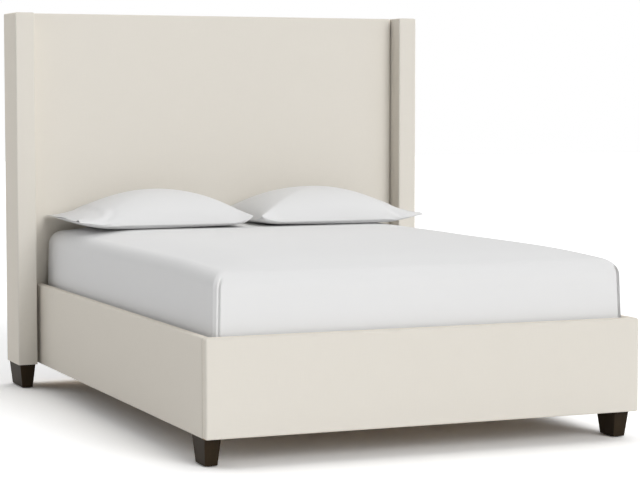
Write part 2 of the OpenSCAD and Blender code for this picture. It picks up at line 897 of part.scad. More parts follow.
function ring(inset, z, r) =
    let (h = [mattress_w / 2 - inset, mattress_l / 2 - inset])
    [for (k = [0:3], i = [0:ring_steps])
        let (a = 90 * k + 90 * i / ring_steps,
             c = [(k == 0 || k == 3 ? 1 : -1) * (h.x - r), (k < 2 ? 1 : -1) * (h.y - r)])
        [c.x + r * cos(a), c.y + r * sin(a), z]];

// Inset and height of each ring of the mattress's side and top, moved outwards by grow
function mattress_profile(grow) = concat(
    [for (i = [0:base_steps]) let (a = 90 * i / base_steps)
        [mattress_base_r - (mattress_base_r + grow) * sin(a),
         mattress_base_r - (mattress_base_r + grow) * cos(a)]],
    [[mattress_waist - grow, mattress_h * waist_share]],
    [for (i = [0:roll_steps]) let (a = 90 * i / roll_steps)
        [mattress_lean + mattress_roll_r - (mattress_roll_r + grow) * cos(a),
         mattress_h - mattress_roll_r + (mattress_roll_r + grow) * sin(a)]],
    [for (i = [1:crown_steps]) let (a = 90 * i / crown_steps)
        [mattress_lean + mattress_roll_r + crown_run * i / crown_steps,
         mattress_h + grow + mattress_crown * sin(a)]]);

function rings_of(profile, r) = [for (p = profile) each ring(p[0], p[1], r)];

// Triangles between ring a and ring b of a stack of rings, wound to face outwards when b is above a
function band(a, b, flip = false) = [for (i = [0:ring_points - 1])
    let (j = (i + 1) % ring_points,
         p = [a * ring_points + i, a * ring_points + j, b * ring_points + i, b * ring_points + j])
    each (flip ? [[p[0], p[1], p[3]], [p[0], p[3], p[2]]] : [[p[0], p[3], p[1]], [p[0], p[2], p[3]]])];

// A flat lid on ring a, as a fan from its first point
function lid(a, up) = [for (i = [1:ring_points - 2])
    let (p = a * ring_points)
    up ? [p, p + i + 1, p + i] : [p, p + i, p + i + 1]];

module mattress() {
    profile = mattress_profile(0);
    last = len(profile) - 1;
    color(white_cloth) translate([0, mattress_y, mattress_z])
        polyhedron(rings_of(profile, mattress_corner_r),
                   concat(lid(0, false), [for (k = [0:last - 1]) each band(k, k + 1)], lid(last, true)));
}

// The sheet's outer rings start at the edge of its hem, and its inner rings follow them in the same order
module fitted_sheet() {
    outer = concat([[sheet_hem, -soft_gap - sheet_t]], mattress_profile(soft_gap + sheet_t));
    inner = concat([[sheet_hem, -soft_gap]], mattress_profile(soft_gap));
    n = len(outer);
    points = concat(rings_of(outer, mattress_corner_r + sheet_t), rings_of(inner, mattress_corner_r));
    color(white_cloth) translate([0, mattress_y, mattress_z])
        polyhedron(points,
                   concat([for (k = [0:n - 2]) each band(k, k + 1)],
                          lid(n - 1, true),
                          [for (k = [n:2 * n - 2]) each band(k, k + 1, true)],
                          lid(2 * n - 1, false),
                          band(0, n, true)));
}

// Pillows
pillow_cols = 18;
pillow_rows = 12;
crown_power = 2.3;
crown_fullness = 0.55;
belly = 1.35;
hem_gap = 0.3;
hem_edge = 2;
end_draw = 8;

function spread(i, n) = sin(180 * i / n - 90);
function swell(u) = 1 - pow(abs(u), crown_power);
function fullness(u, v) = pow(swell(u) * swell(v), crown_fullness);

// Columns run along the pillow as [distance along, share of the half length]; a hem adds three flat ones
function pillow_columns(half_l, hem) = concat(
    hem > 0 ? [for (x = [hem, hem - hem_edge, hem_edge]) [-half_l - x, -1]] : [],
    [for (i = [0:pillow_cols]) [half_l * spread(i, pillow_cols), spread(i, pillow_cols)]]);

// Two triangles of a four-sided cell, split from its first corner or from its second; the split runs
// to the pillow's nearest corner, where the other one would leave a fin without thickness
function cell(a, b, c, d, from_first) = from_first ? [[a, b, c], [a, c, d]] : [[a, b, d], [b, c, d]];

// A closed pillow: half sizes, heights of its crown and base above the mattress, the length of its flat
// hem and half the thickness of that hem
module pillow_form(half_l, half_d, top, base, hem = 0, thin = 0) {
    cols = pillow_columns(half_l, hem);
    m = len(cols) - 1;
    n = pillow_rows;
    function plan(i, j) =
        let (u = cols[i][1], v = spread(j, n))
        [cols[i][0] - sign(u) * end_draw * (1 - v * v) * u * u,
         v * (half_d - pillow_draw * (1 - u * u))];
    function high(i, j) = let (f = fullness(cols[i][1], spread(j, n)))
        pillow_seam_z + max(thin, f * (top - pillow_seam_z));
    function low(i, j) = let (f = fullness(cols[i][1], spread(j, n)))
        pillow_seam_z - max(thin, min(1, f * belly) * (pillow_seam_z - base));
    function rim(i, j) = i == 0 || i == m || j == 0 || j == n;
    upper = [for (i = [0:m], j = [0:n]) [each plan(i, j), rim(i, j) ? pillow_seam_z : high(i, j)]];
    lower = [for (i = [1:m - 1], j = [1:n - 1]) [each plan(i, j), low(i, j)]];
    function up_at(i, j) = i * (n + 1) + j;
    function low_at(i, j) = rim(i, j) ? up_at(i, j) : len(upper) + (i - 1) * (n - 1) + j - 1;
    function outward(i, j) = (i < m / 2) == (j < n / 2);
    polyhedron(concat(upper, lower),
        [for (i = [0:m - 1], j = [0:n - 1])
            each concat(cell(up_at(i, j), up_at(i, j + 1), up_at(i + 1, j + 1), up_at(i + 1, j),
                             outward(i, j)),
                        cell(low_at(i, j), low_at(i + 1, j), low_at(i + 1, j + 1), low_at(i, j + 1),
                             outward(i, j)))]);
}

// The case is open at its outer end, between the two layers of its hem
case_side = 3;
insert_gap = 0.5;

module pillow(side) {
    inset = case_side + insert_gap;
    color(white_cloth) translate([pillow_shift, 0, 0]) at_side(side)
        translate([pillow_x, pillow_y, pillow_z]) pillow_form(pillow_l / 2 - inset, pillow_d / 2 - inset,
                    pillow_h - case_t - insert_gap, case_t + soft_gap);
}

module pillowcase(side) {
    color(white_cloth) translate([pillow_shift, 0, 0]) at_side(side)
        translate([pillow_x, pillow_y, pillow_z]) difference() {
            pillow_form(pillow_l / 2, pillow_d / 2, pillow_h, 0, case_hem, hem_gap + case_t);
            pillow_form(pillow_l / 2 - case_side, pillow_d / 2 - case_side, pillow_h - case_t, case_t,
                        case_hem + case_side + 2 * hem_edge, hem_gap);
        }
}

headboard_cover();
headboard_padding();
headboard_face_board();
headboard_fixing_board();
headboard_stile(-1);  // headboard_left_stile
headboard_stile(1);  // headboard_right_stile
headboard_top_rail();
headboard_middle_rail();
headboard_bottom_rail();
headboard_back_cloth();
wing_cover(-1);  // left_wing_cover
wing_padding(-1);  // left_wing_padding
wing_skins(-1);  // left_wing_skins
wing_posts(-1);  // left_wing_posts
wing_ribs(-1);  // left_wing_ribs
wing_cover(1);  // right_wing_cover
wing_padding(1);  // right_wing_padding
wing_skins(1);  // right_wing_skins
wing_posts(1);  // right_wing_posts
wing_ribs(1);  // right_wing_ribs
wing_bolts();
rail_cover(-1);  // left_rail_cover
rail_padding(-1);  // left_rail_padding
rail_board(-1);  // left_rail_board
rail_cover(1);  // right_rail_cover
rail_padding(1);  // right_rail_padding
rail_board(1);  // right_rail_board
footboard_cover();
footboard_padding();
footboard_board();
corner_block(-1);  // left_corner_block
corner_block(1);  // right_corner_block
corner_brackets();
bracket_bolts();
foot_leg(-1);  // left_foot_leg
foot_leg(1);  // right_foot_leg
wing_leg(-1);  // left_wing_leg
wing_leg(1);  // right_wing_leg
leg_bolts();
leg_glides();
ledger(-1);  // left_ledger
ledger(1);  // right_ledger
centre_beam();
beam_hangers();
slats();
slat_straps();
wood_screws();
centre_leg(-1);  // front_centre_leg
centre_leg(1);  // rear_centre_leg
leveller_inserts();
leveller_foot(-1);  // front_leveller_foot
leveller_stem(-1);  // front_leveller_stem
leveller_foot(1);  // rear_leveller_foot
leveller_stem(1);  // rear_leveller_stem
mattress();
fitted_sheet();
pillow(-1);  // left_pillow
pillowcase(-1);  // left_pillowcase
pillow(1);  // right_pillow
pillowcase(1);  // right_pillowcase
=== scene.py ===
"""A tall winged bed in cream linen with its white bedding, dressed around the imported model.

All sizes are in metres, in the model's own frame: +Y runs from the foot of the bed to the headboard.
"""

import json
import logging
import math
from collections.abc import Callable, Iterable
from dataclasses import dataclass, field
from enum import Enum

import bmesh
import bpy
from mathutils import Matrix, Vector, noise

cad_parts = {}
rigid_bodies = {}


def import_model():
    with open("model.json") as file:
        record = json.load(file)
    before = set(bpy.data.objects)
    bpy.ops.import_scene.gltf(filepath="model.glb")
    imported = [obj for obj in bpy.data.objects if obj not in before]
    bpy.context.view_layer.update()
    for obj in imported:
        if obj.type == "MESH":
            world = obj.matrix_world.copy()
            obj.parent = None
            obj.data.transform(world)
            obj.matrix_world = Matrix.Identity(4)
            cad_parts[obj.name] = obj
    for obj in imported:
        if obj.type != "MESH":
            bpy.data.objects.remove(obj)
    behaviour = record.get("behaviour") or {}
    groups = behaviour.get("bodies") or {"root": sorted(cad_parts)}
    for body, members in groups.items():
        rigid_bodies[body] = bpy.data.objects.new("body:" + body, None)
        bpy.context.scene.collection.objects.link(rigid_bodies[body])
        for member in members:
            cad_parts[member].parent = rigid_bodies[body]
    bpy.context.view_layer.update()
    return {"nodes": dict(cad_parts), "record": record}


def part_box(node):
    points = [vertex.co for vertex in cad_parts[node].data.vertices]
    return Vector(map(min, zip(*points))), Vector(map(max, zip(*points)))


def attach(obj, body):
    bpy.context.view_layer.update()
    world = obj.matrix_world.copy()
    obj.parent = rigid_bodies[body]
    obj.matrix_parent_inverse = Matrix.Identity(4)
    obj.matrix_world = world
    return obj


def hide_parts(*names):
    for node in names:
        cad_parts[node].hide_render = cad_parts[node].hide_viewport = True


for leftover in list(bpy.data.objects):
    bpy.data.objects.remove(leftover)
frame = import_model()
LOG = logging.getLogger("bed")
MM = 0.001

# How near two places are to count as one
TOUCH = 1e-6

# The weight at which wide faces alone set the shading
ONLY_WIDE_FACES = 100

Color = tuple[float, float, float]
Rule = Callable[[Vector, Vector], Vector]
EdgeTest = Callable[[Vector, Vector], bool]


class Axis(Enum):
    """The three directions of the model's frame."""

    X = 0
    Y = 1
    Z = 2


class Signal:
    """A shader socket that takes part in Python expressions, each of which adds its Math nodes."""

    def __init__(self, graph: "ShaderGraph", socket: bpy.types.NodeSocket) -> None:
        """Wraps one output socket of a graph."""
        self.graph = graph
        self.socket = socket

    def math(self, operation: str, *others: "Signal | float") -> "Signal":
        """Returns a Math node's result.

        Args:
            operation: the Math node's operation.
            others: what follows this signal in the node's inputs.

        Returns:
            The node's output.
        """
        inputs = dict(enumerate((self, *others)))
        return self.graph.add("ShaderNodeMath", {"operation": operation}, inputs)

    def beside(self, output: int | str) -> "Signal":
        """Returns another output of the same node."""
        return Signal(self.graph, self.socket.node.outputs[output])

    def __add__(self, other: "Signal | float") -> "Signal":
        """Adds."""
        return self.math("ADD", other)

    def __radd__(self, other: float) -> "Signal":
        """Adds to a number."""
        return self.math("ADD", other)

    def __sub__(self, other: "Signal | float") -> "Signal":
        """Subtracts."""
        return self.math("SUBTRACT", other)

    def __rsub__(self, other: float) -> "Signal":
        """Subtracts from a number."""
        return self.math("MULTIPLY", -1.0).math("ADD", other)

    def __mul__(self, other: "Signal | float") -> "Signal":
        """Multiplies."""
        return self.math("MULTIPLY", other)

    def __rmul__(self, other: float) -> "Signal":
        """Multiplies a number."""
        return self.math("MULTIPLY", other)


class ShaderGraph:
    """The node tree of one material or world."""

    def __init__(self, owner: bpy.types.Material | bpy.types.World) -> None:
        """Clears the owner's node tree, ready for new nodes.

        Args:
            owner: the material or world that the tree belongs to.
        """
        owner.use_nodes = True
        self.tree = owner.node_tree
        self.tree.nodes.clear()

    def add(
        self,
        kind: str,
        settings: dict | None = None,
        inputs: dict | None = None,
        output: int | str = 0,
    ) -> Signal:
        """Adds a node.

        Args:
            kind: the node's type.
            settings: its properties, such as a Math node's operation, which are set first.
            inputs: numbers, colours or signals for its sockets, by index or name.
            output: the socket to return.

        Returns:
            The chosen output as a signal.
        """
        node = self.tree.nodes.new(kind)
        for key, value in (settings or {}).items():
            setattr(node, key, value)
        for key, value in (inputs or {}).items():
            if isinstance(value, Signal):
                self.tree.links.new(value.socket, node.inputs[key])
            else:
                node.inputs[key].default_value = value
        return Signal(self, node.outputs[output] if len(node.outputs) else None)

    def mix_color(self, factor: Signal | float, first: object, second: object) -> Signal:
        """Mixes two colours, each a signal or an RGBA tuple."""
        inputs = {0: factor, 6: first, 7: second}
        return self.add("ShaderNodeMix", {"data_type": "RGBA"}, inputs, output=2)

    def place(self, from_uv: bool, scale: tuple[float, float, float]) -> Signal:
        """Returns a scaled coordinate, from the UV map in metres or from the object."""
        where = self.add("ShaderNodeTexCoord", output="UV" if from_uv else "Object")
        return self.add("ShaderNodeMapping", {}, {"Vector": where, "Scale": scale})

    def grain(self, where: Signal, scale: float, detail: float = 2.0) -> Signal:
        """Returns fractal noise around one half."""
        inputs = {"Vector": where, "Scale": scale, "Detail": detail}
        return self.add("ShaderNodeTexNoise", {}, inputs)

    def finish(self, color: Signal, roughness: Signal | float, height: Signal,
               depth: float, fixed: dict | None = None) -> None:
        """Ends the tree in a Principled shader.

        Args:
            color: its base colour.
            roughness: its roughness.
            height: a height from 0 to 1 that the surface's bumps follow.
            depth: the height of those bumps in metres.
            fixed: its sockets that are the same all over.
        """
        bump = self.add("ShaderNodeBump", {}, {"Strength": 1.0, "Distance": depth, "Height": height})
        inputs = {"Base Color": color, "Roughness": roughness, "Normal": bump, **(fixed or {})}
        shader = self.add("ShaderNodeBsdfPrincipled", {}, inputs)
        self.add("ShaderNodeOutputMaterial", {}, {"Surface": shader})


def rgba(color: Color) -> tuple[float, float, float, float]:
    """Returns a colour with full alpha."""
    return (*color, 1.0)


def toned(color: Color, share: float) -> tuple[float, float, float, float]:
    """Returns a colour made lighter or darker by a share of itself."""
    return rgba(tuple(min(1.0, c * (1 + share)) for c in color))


@dataclass(frozen=True)
class Finish:
    """A surface finish: its name and main colour. Each kind adds its own nodes in draw.

    Each rate says how many of a pattern's marks there are to the metre, more or less.
    """

    name: str
    color: Color

    def material(self) -> bpy.types.Material:
        """Makes the finish's material at its first use.

        Returns:
            The material, which every piece with this finish shares.
        """
        found = bpy.data.materials.get(self.name)
        if found is None:
            found = bpy.data.materials.new(self.name)
            self.draw(ShaderGraph(found))
        return found

    def draw(self, graph: ShaderGraph) -> None:
        """Adds the finish's nodes to an empty graph."""
        raise NotImplementedError

    def varied(self, graph: ShaderGraph, share: Signal, spread: float) -> Signal:
        """Returns the main colour, from darker to lighter by a spread as a share goes from 0 to 1."""
        return graph.mix_color(share, toned(self.color, -spread), toned(self.color, spread))


@dataclass(frozen=True)
class WovenCloth(Finish):
    """Plain-woven cloth, with a thread's pitch, uneven threads and a faint sheen."""

    pitch: float = 1.0 * MM
    relief: float = 0.10 * MM
    dip: float = 0.4
    slub: float = 0.05
    slubs_along: float = 16.0
    slubs_across: float = 700.0
    cloudy: float = 0.02
    cloud_rate: float = 9.0
    weave_share: float = 0.7
    slub_share: float = 0.6
    roughness: float = 0.9
    roughness_spread: float = 0.08
    gloss: float = 0.25
    sheen: float = 0.1
    sheen_roughness: float = 0.5
    sheen_color: Color = (1.0, 1.0, 1.0)

    def draw(self, graph: ShaderGraph) -> None:
        """Adds threads that pass over and under each other along the UV map.

        Args:
            graph: the material's empty graph.
        """
        threads = graph.place(True, (1 / self.pitch, 1 / self.pitch, 1))
        u = graph.add("ShaderNodeSeparateXYZ", {}, {0: threads})
        v = u.beside(1)
        warp = (u.math("FRACT") * math.pi).math("SINE")
        weft = (v.math("FRACT") * math.pi).math("SINE")
        over = (u.math("FLOOR") + v.math("FLOOR")).math("FLOORED_MODULO", 2.0)
        level = 1 - self.dip
        weave = over * warp * (level + self.dip * weft) + (1 - over) * weft * (level + self.dip * warp)
        long_threads = graph.grain(graph.place(True, (self.slubs_along, self.slubs_across, 1)), 1.0)
        cross_threads = graph.grain(graph.place(True, (self.slubs_across, self.slubs_along, 1)), 1.0)
        uneven_threads = 0.5 * long_threads + 0.5 * cross_threads
        clouds = graph.grain(graph.place(True, (1, 1, 1)), self.cloud_rate, detail=3.0)
        worn = self.varied(graph, uneven_threads, self.slub)
        color = graph.mix_color(0.5, worn, self.varied(graph, clouds, self.cloudy))
        roughness = self.roughness + self.roughness_spread * (uneven_threads - 0.5)
        fixed = {
            "Sheen Weight": self.sheen,
            "Sheen Roughness": self.sheen_roughness,
            "Sheen Tint": rgba(self.sheen_color),
            "Specular IOR Level": self.gloss,
        }
        height = weave * self.weave_share + uneven_threads * self.slub_share
        graph.finish(color, roughness, height, self.relief, fixed)


@dataclass(frozen=True)
class Timber(Finish):
    """Planed wood with its grain along one axis of the model."""

    along: Axis = Axis.Z
    stretch: float = 0.07
    band_rate: float = 22.0
    fibre_rate: float = 260.0
    pore_rate: float = 900.0
    band_share: float = 0.55
    fibre_share: float = 0.3
    pore_share: float = 0.15
    contrast: float = 0.25
    sharpness: float = 2.6
    relief: float = 0.08 * MM
    fibre_relief: float = 0.6
    roughness: float = 0.6
    roughness_spread: float = 0.12
    gloss: float = 0.3

    def draw(self, graph: ShaderGraph) -> None:
        """Adds long fibres, broad growth bands and fine pores.

        Args:
            graph: the material's empty graph.
        """
        scale = [1.0, 1.0, 1.0]
        scale[self.along.value] = self.stretch
        where = graph.place(False, tuple(scale))
        bands = graph.grain(where, self.band_rate, detail=4.0)
        fibres = graph.grain(where, self.fibre_rate, detail=3.0)
        pores = graph.grain(where, self.pore_rate, detail=1.0)
        tone = self.band_share * bands + self.fibre_share * fibres + self.pore_share * pores
        color = self.varied(graph, (tone - 0.5) * self.sharpness + 0.5, self.contrast)
        roughness = self.roughness + self.roughness_spread * (fibres - 0.5)
        height = fibres * self.fibre_relief + pores * (1 - self.fibre_relief)
        graph.finish(color, roughness, height, self.relief, {"Specular IOR Level": self.gloss})


@dataclass(frozen=True)
class Speckled(Finish):
    """A plain material with fine grain, such as foam, felt cloth, moulded plastic or plated steel."""

    grain_size: float = 2.0 * MM
    grain_share: float = 0.6
    broad_rate: float = 8.0
    contrast: float = 0.08
    relief: float = 0.1 * MM
    roughness: float = 0.9
    roughness_spread: float = 0.1
    metallic: float = 0.0

    def draw(self, graph: ShaderGraph) -> None:
        """Adds a fine grain and a broad unevenness.

        Args:
            graph: the material's empty graph.
        """
        where = graph.place(False, (1, 1, 1))
        fine = graph.grain(where, 1 / self.grain_size)
        broad = graph.grain(where, self.broad_rate, detail=3.0)
        tone = self.grain_share * fine + (1 - self.grain_share) * broad
        color = self.varied(graph, tone, self.contrast)
        roughness = self.roughness + self.roughness_spread * (broad - 0.5)
        graph.finish(color, roughness, fine, self.relief, {"Metallic": self.metallic})


@dataclass(frozen=True)
class PaleFloor(Finish):
    """A matt floor, which the camera sees a little brighter than it is, so that it is white."""

    seen: float = 1.32

    def draw(self, graph: ShaderGraph) -> None:
        """Adds a plain diffuse surface.

        Args:
            graph: the material's empty graph.
        """
        to_camera = graph.add("ShaderNodeLightPath", output="Is Camera Ray")
        color = graph.mix_color(to_camera, rgba(self.color), rgba((self.seen,) * 3))
        shader = graph.add("ShaderNodeBsdfDiffuse", {}, {"Color": color})
        graph.add("ShaderNodeOutputMaterial", {}, {"Surface": shader})


LINEN = WovenCloth(
    "cream_linen", (0.74, 0.705, 0.64), slub=0.07, sheen=0.8, sheen_color=(1.0, 0.92, 0.80)
)
COTTON = WovenCloth(
    "white_percale", (0.78, 0.78, 0.78), pitch=0.5 * MM, relief=0.04 * MM, slub=0.02, cloudy=0.01
)
TICKING = WovenCloth("cotton_ticking", (0.80, 0.79, 0.76), pitch=0.8 * MM, slub=0.03)
ESPRESSO = Timber("espresso_stain", (0.026, 0.016, 0.007), contrast=0.35, roughness=0.5, gloss=0.15)
FOAM = Speckled("upholstery_foam", (0.80, 0.72, 0.48), grain_size=1.5 * MM)
DUST_CLOTH = Speckled("black_felt", (0.018, 0.018, 0.02), grain_size=1.0 * MM, contrast=0.3)
WEBBING = Speckled("webbing_tape", (0.03, 0.03, 0.032), grain_size=1.2 * MM, contrast=0.3)
STEEL = Speckled(
    "zinc_plate", (0.55, 0.56, 0.57), grain_size=4 * MM, relief=0.02 * MM, roughness=0.35, metallic=1.0
)
BLACK_PLASTIC = Speckled("moulded_nylon", (0.02, 0.02, 0.02), relief=0.03 * MM, roughness=0.5)
FLOOR = PaleFloor("studio_floor", (0.95, 0.95, 0.95))
PINE_COLOR: Color = (0.60, 0.41, 0.22)
PLYWOOD_COLOR: Color = (0.50, 0.34, 0.19)


def spaced(first: float, last: float, step: float) -> list[float]:
    """Returns places strictly between two ends, evenly spaced and about a step apart."""
    count = max(1, round((last - first) / step))
    return [first + (last - first) * i / count for i in range(1, count)]


def smooth_step(low: float, high: float, value: float) -> float:
    """Returns 0 below low and 1 above high, with an even curve between."""
    share = min(1.0, max(0.0, (value - low) / (high - low)))
    return share * share * (3 - 2 * share)


def meeting(first: EdgeTest, second: EdgeTest) -> EdgeTest:
    """Returns a test for edges that pass two tests, as where two faces meet."""
    return lambda a, b: first(a, b) and second(a, b)


class Stock:
    """A piece in the making: a box that is rounded, sliced, opened and bent."""

    def __init__(self, low: Vector, high: Vector) -> None:
        """Starts from the box between two corners.

        Args:
            low: its lowest corner.
            high: its highest corner.
        """
        self.bm = bmesh.new()
        bmesh.ops.create_cube(self.bm, size=1.0)
        bmesh.ops.scale(self.bm, vec=high - low, verts=self.bm.verts)
        bmesh.ops.translate(self.bm, vec=(high + low) / 2, verts=self.bm.verts)
        self.low = low.copy()
        self.high = high.copy()

    def round_edges(self, chosen: EdgeTest, radius: float, segments: int) -> None:
        """Rounds the edges whose two ends pass a test.

        Args:
            chosen: says of an edge's ends whether it is rounded.
            radius: the radius of the round.
            segments: how many strips the round has.
        """
        edges = [e for e in self.bm.edges if chosen(e.verts[0].co, e.verts[1].co)]
        bmesh.ops.bevel(
            self.bm, geom=edges, offset=radius, offset_type="OFFSET", segments=segments,
            profile=0.5, affect="EDGES", material=-1,
        )

    def on(self, axis: Axis, place: float) -> EdgeTest:
        """Returns a test for edges that lie in a plane across an axis."""
        k = axis.value
        return lambda a, b: abs(a[k] - place) < TOUCH and abs(b[k] - place) < TOUCH

    def slice(self, axis: Axis, places: Iterable[float]) -> None:
        """Cuts the mesh across an axis, without parting it.

        Args:
            axis: the axis that the cuts lie across.
            places: where on the axis they lie.
        """
        normal = Vector((0, 0, 0))
        normal[axis.value] = 1.0
        for place in places:
            geom = self.bm.verts[:] + self.bm.edges[:] + self.bm.faces[:]
            bmesh.ops.bisect_plane(self.bm, geom=geom, plane_co=normal * place, plane_no=normal)

    def divide(self, step: float, *axes: Axis) -> None:
        """Cuts the stock across some axes into even cells.

        Args:
            step: about how long a cell is.
            axes: the axes that the cuts lie across.
        """
        for axis in axes:
            self.slice(axis, spaced(self.low[axis.value], self.high[axis.value], step))

    def open_side(self, axis: Axis, place: float) -> None:
        """Removes the faces that lie in a plane across an axis.

        Args:
            axis: the axis.
            place: where on it the plane lies.
        """
        k = axis.value
        flat = [f for f in self.bm.faces if all(abs(v.co[k] - place) < TOUCH for v in f.verts)]
        bmesh.ops.delete(self.bm, geom=flat, context="FACES")

    def bend(self, rule: Rule) -> None:
        """Moves each point of the stock.

        Args:
            rule: gives a point's new place for its place and its normal.
        """
        self.bm.normal_update()
        moved = [rule(v.co.copy(), v.normal.copy()) for v in self.bm.verts]
        for vert, place in zip(self.bm.verts, moved):
            vert.co = place

    def to_piece(self, name: str, finish: Finish) -> bpy.types.Object:
        """Returns the stock as a smooth object at the origin, with a UV map in metres.

        Args:
            name: the piece's name.
            finish: its finish.

        Returns:
            The new object.
        """
        bmesh.ops.remove_doubles(self.bm, verts=self.bm.verts, dist=TOUCH)
        bmesh.ops.recalc_face_normals(self.bm, faces=self.bm.faces)
        lay_out(self.bm)
        return as_piece(self.bm, name, finish)


def lay_out(bm: bmesh.types.BMesh) -> None:
    """Gives each face a UV in metres, seen along the axis that it faces most.

    Args:
        bm: the mesh, whose faces also become smooth.
    """
    layer = bm.loops.layers.uv.verify()
    for face in bm.faces:
        face.smooth = True
        facing = max(range(3), key=lambda k: abs(face.normal[k]))
        first, second = [k for k in range(3) if k != facing]
        for loop in face.loops:
            loop[layer].uv = (loop.vert.co[first], loop.vert.co[second])


def as_piece(bm: bmesh.types.BMesh, name: str, finish: Finish) -> bpy.types.Object:
    """Turns a bmesh into an object with a finish, and frees the bmesh.

    Args:
        bm: the finished mesh.
        name: the piece's name.
        finish: its finish.

    Returns:
        The new object.
    """
    mesh = bpy.data.meshes.new(name)
    bm.to_mesh(mesh)
    bm.free()
    piece = bpy.data.objects.new(name, mesh)
    bpy.context.scene.collection.objects.link(piece)
    piece.data.materials.append(finish.material())
    return piece


def with_wall(piece: bpy.types.Object, wall: float) -> None:
    """Gives a surface a wall that grows inwards.

    Args:
        piece: the surface.
        wall: the wall's thickness.
    """
    solid = piece.modifiers.new("wall", "SOLIDIFY")
    solid.thickness = wall
    solid.offset = -1.0


def flat_shaded(piece: bpy.types.Object) -> None:
    """Lets wide faces set the shading, so that they stay flat beside their rounds.

    Args:
        piece: the piece, whose mesh is smooth.
    """
    weighted = piece.modifiers.new("weighted", "WEIGHTED_NORMAL")
    weighted.weight = ONLY_WIDE_FACES
    weighted.keep_sharp = True


def bake(piece: bpy.types.Object) -> None:
    """Applies every modifier of a piece to its mesh.

    Args:
        piece: the piece.
    """
    graph = bpy.context.evaluated_depsgraph_get()
    mesh = bpy.data.meshes.new_from_object(piece.evaluated_get(graph))
    piece.modifiers.clear()
    piece.data = mesh


def carve(piece: bpy.types.Object, low: Vector, high: Vector) -> None:
    """Cuts the box between two corners out of a piece.

    Args:
        piece: the piece.
        low: the box's lowest corner.
        high: its highest corner.
    """
    cutter = Stock(low, high).to_piece("cutter", FOAM)
    cut = piece.modifiers.new("cut", "BOOLEAN")
    cut.operation = "DIFFERENCE"
    cut.solver = "EXACT"
    cut.object = cutter
    bake(piece)
    bpy.data.objects.remove(cutter)


def joined_box(node_names: Iterable[str]) -> tuple[Vector, Vector]:
    """Works out the box round several nodes.

    Args:
        node_names: the nodes.

    Returns:
        Its lowest and its highest corner.
    """
    boxes = [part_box(name) for name in node_names]
    low = Vector([min(box[0][k] for box in boxes) for k in range(3)])
    high = Vector([max(box[1][k] for box in boxes) for k in range(3)])
    return low, high


def smoothed(piece: bpy.types.Object, levels: int) -> None:
    """Adds a Subdivision Surface of the same level in view and render.

    Args:
        piece: the piece.
        levels: how many times its faces are divided.
    """
    surface = piece.modifiers.new("subdivision", "SUBSURF")
    surface.levels = levels
    surface.render_levels = levels


def settle(piece: bpy.types.Object, node_name: str, body: str) -> None:
    """Makes a piece stand for a node and ride its body.

    Args:
        piece: the finished piece.
        node_name: the node that it replaces.
        body: the body that it rides on.
    """
    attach(piece, body)
    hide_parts(node_name)
    LOG.info("%s stands for %s", piece.name, node_name)


def bump(value: float, middle: float, width: float) -> float:
    """Returns 1 at a middle, and less away from it, on a bell curve."""
    return math.exp(-(((value - middle) / width) ** 2))


def uneven(place: Vector, size: float, height: float) -> float:
    """Returns a smooth random height at a place."""
    return height * noise.noise(place / size)


@dataclass
class Upholstery:
    """The fabric covers of the rails, the footboard, the headboard and the wings, and their foam."""

    wall: float = 1.0 * MM
    step: float = 60 * MM
    crown: float = 1.6 * MM
    crown_power: int = 4
    ripple: float = 0.5 * MM
    ripple_size: float = 220 * MM

    # How far a hollow that reaches the foam's side is cut past it
    past: float = 3 * MM

    def soften(self, stock: Stock, thin: Axis, keep_back: bool) -> None:
        """Swells the two broad faces of a padded board a little.

        Args:
            stock: the cover in the making.
            thin: the axis across the board.
            keep_back: whether the face at the high end of that axis stays flat.
        """
        k = thin.value
        others = [i for i in range(3) if i != k]
        middle = (stock.low + stock.high) / 2
        half = (stock.high - stock.low) / 2

        def swell(place: Vector, normal: Vector) -> Vector:
            """Moves a point out by the crown, which fades towards the edges, and by the ripple.

            Args:
                place: the point.
                normal: its normal.

            Returns:
                Its new place.
            """
            side = normal[k]
            if keep_back and side > 0:
                return place
            shares = [1 - ((place[i] - middle[i]) / half[i]) ** self.crown_power for i in others]
            crown = max(0.0, min(shares)) * self.crown
            place[k] += side * (crown + self.ripple + uneven(place, self.ripple_size, self.ripple))
            return place

        stock.bend(swell)

    def cover(self, stock: Stock, node_name: str) -> None:
        """Turns the stock into a cover with a wall, in place of its node.

        Args:
            stock: the cover's outer surface.
            node_name: the cover node that it replaces.
        """
        piece = stock.to_piece(node_name.replace("_cover", "_fabric"), LINEN)
        with_wall(piece, self.wall)
        flat_shaded(piece)
        settle(piece, node_name, "frame")

    def foam(self, stock: Stock, node_name: str, cores: Iterable[Iterable[str]]) -> None:
        """Turns the stock into foam with room for the boards that it is glued to.

        Args:
            stock: the outer shape of the foam.
            node_name: the padding node that it replaces.
            cores: groups of nodes, each of which takes up one box in the foam.
        """
        low, high = stock.low, stock.high
        piece = stock.to_piece(node_name.replace("_padding", "_foam"), FOAM)
        for core in cores:
            core_low, core_high = joined_box(core)
            for k in range(3):
                core_low[k] -= self.past if core_low[k] - low[k] < self.wall else 0
                core_high[k] += self.past if high[k] - core_high[k] < self.wall else 0
            carve(piece, core_low, core_high)
        flat_shaded(piece)
        settle(piece, node_name, "frame")


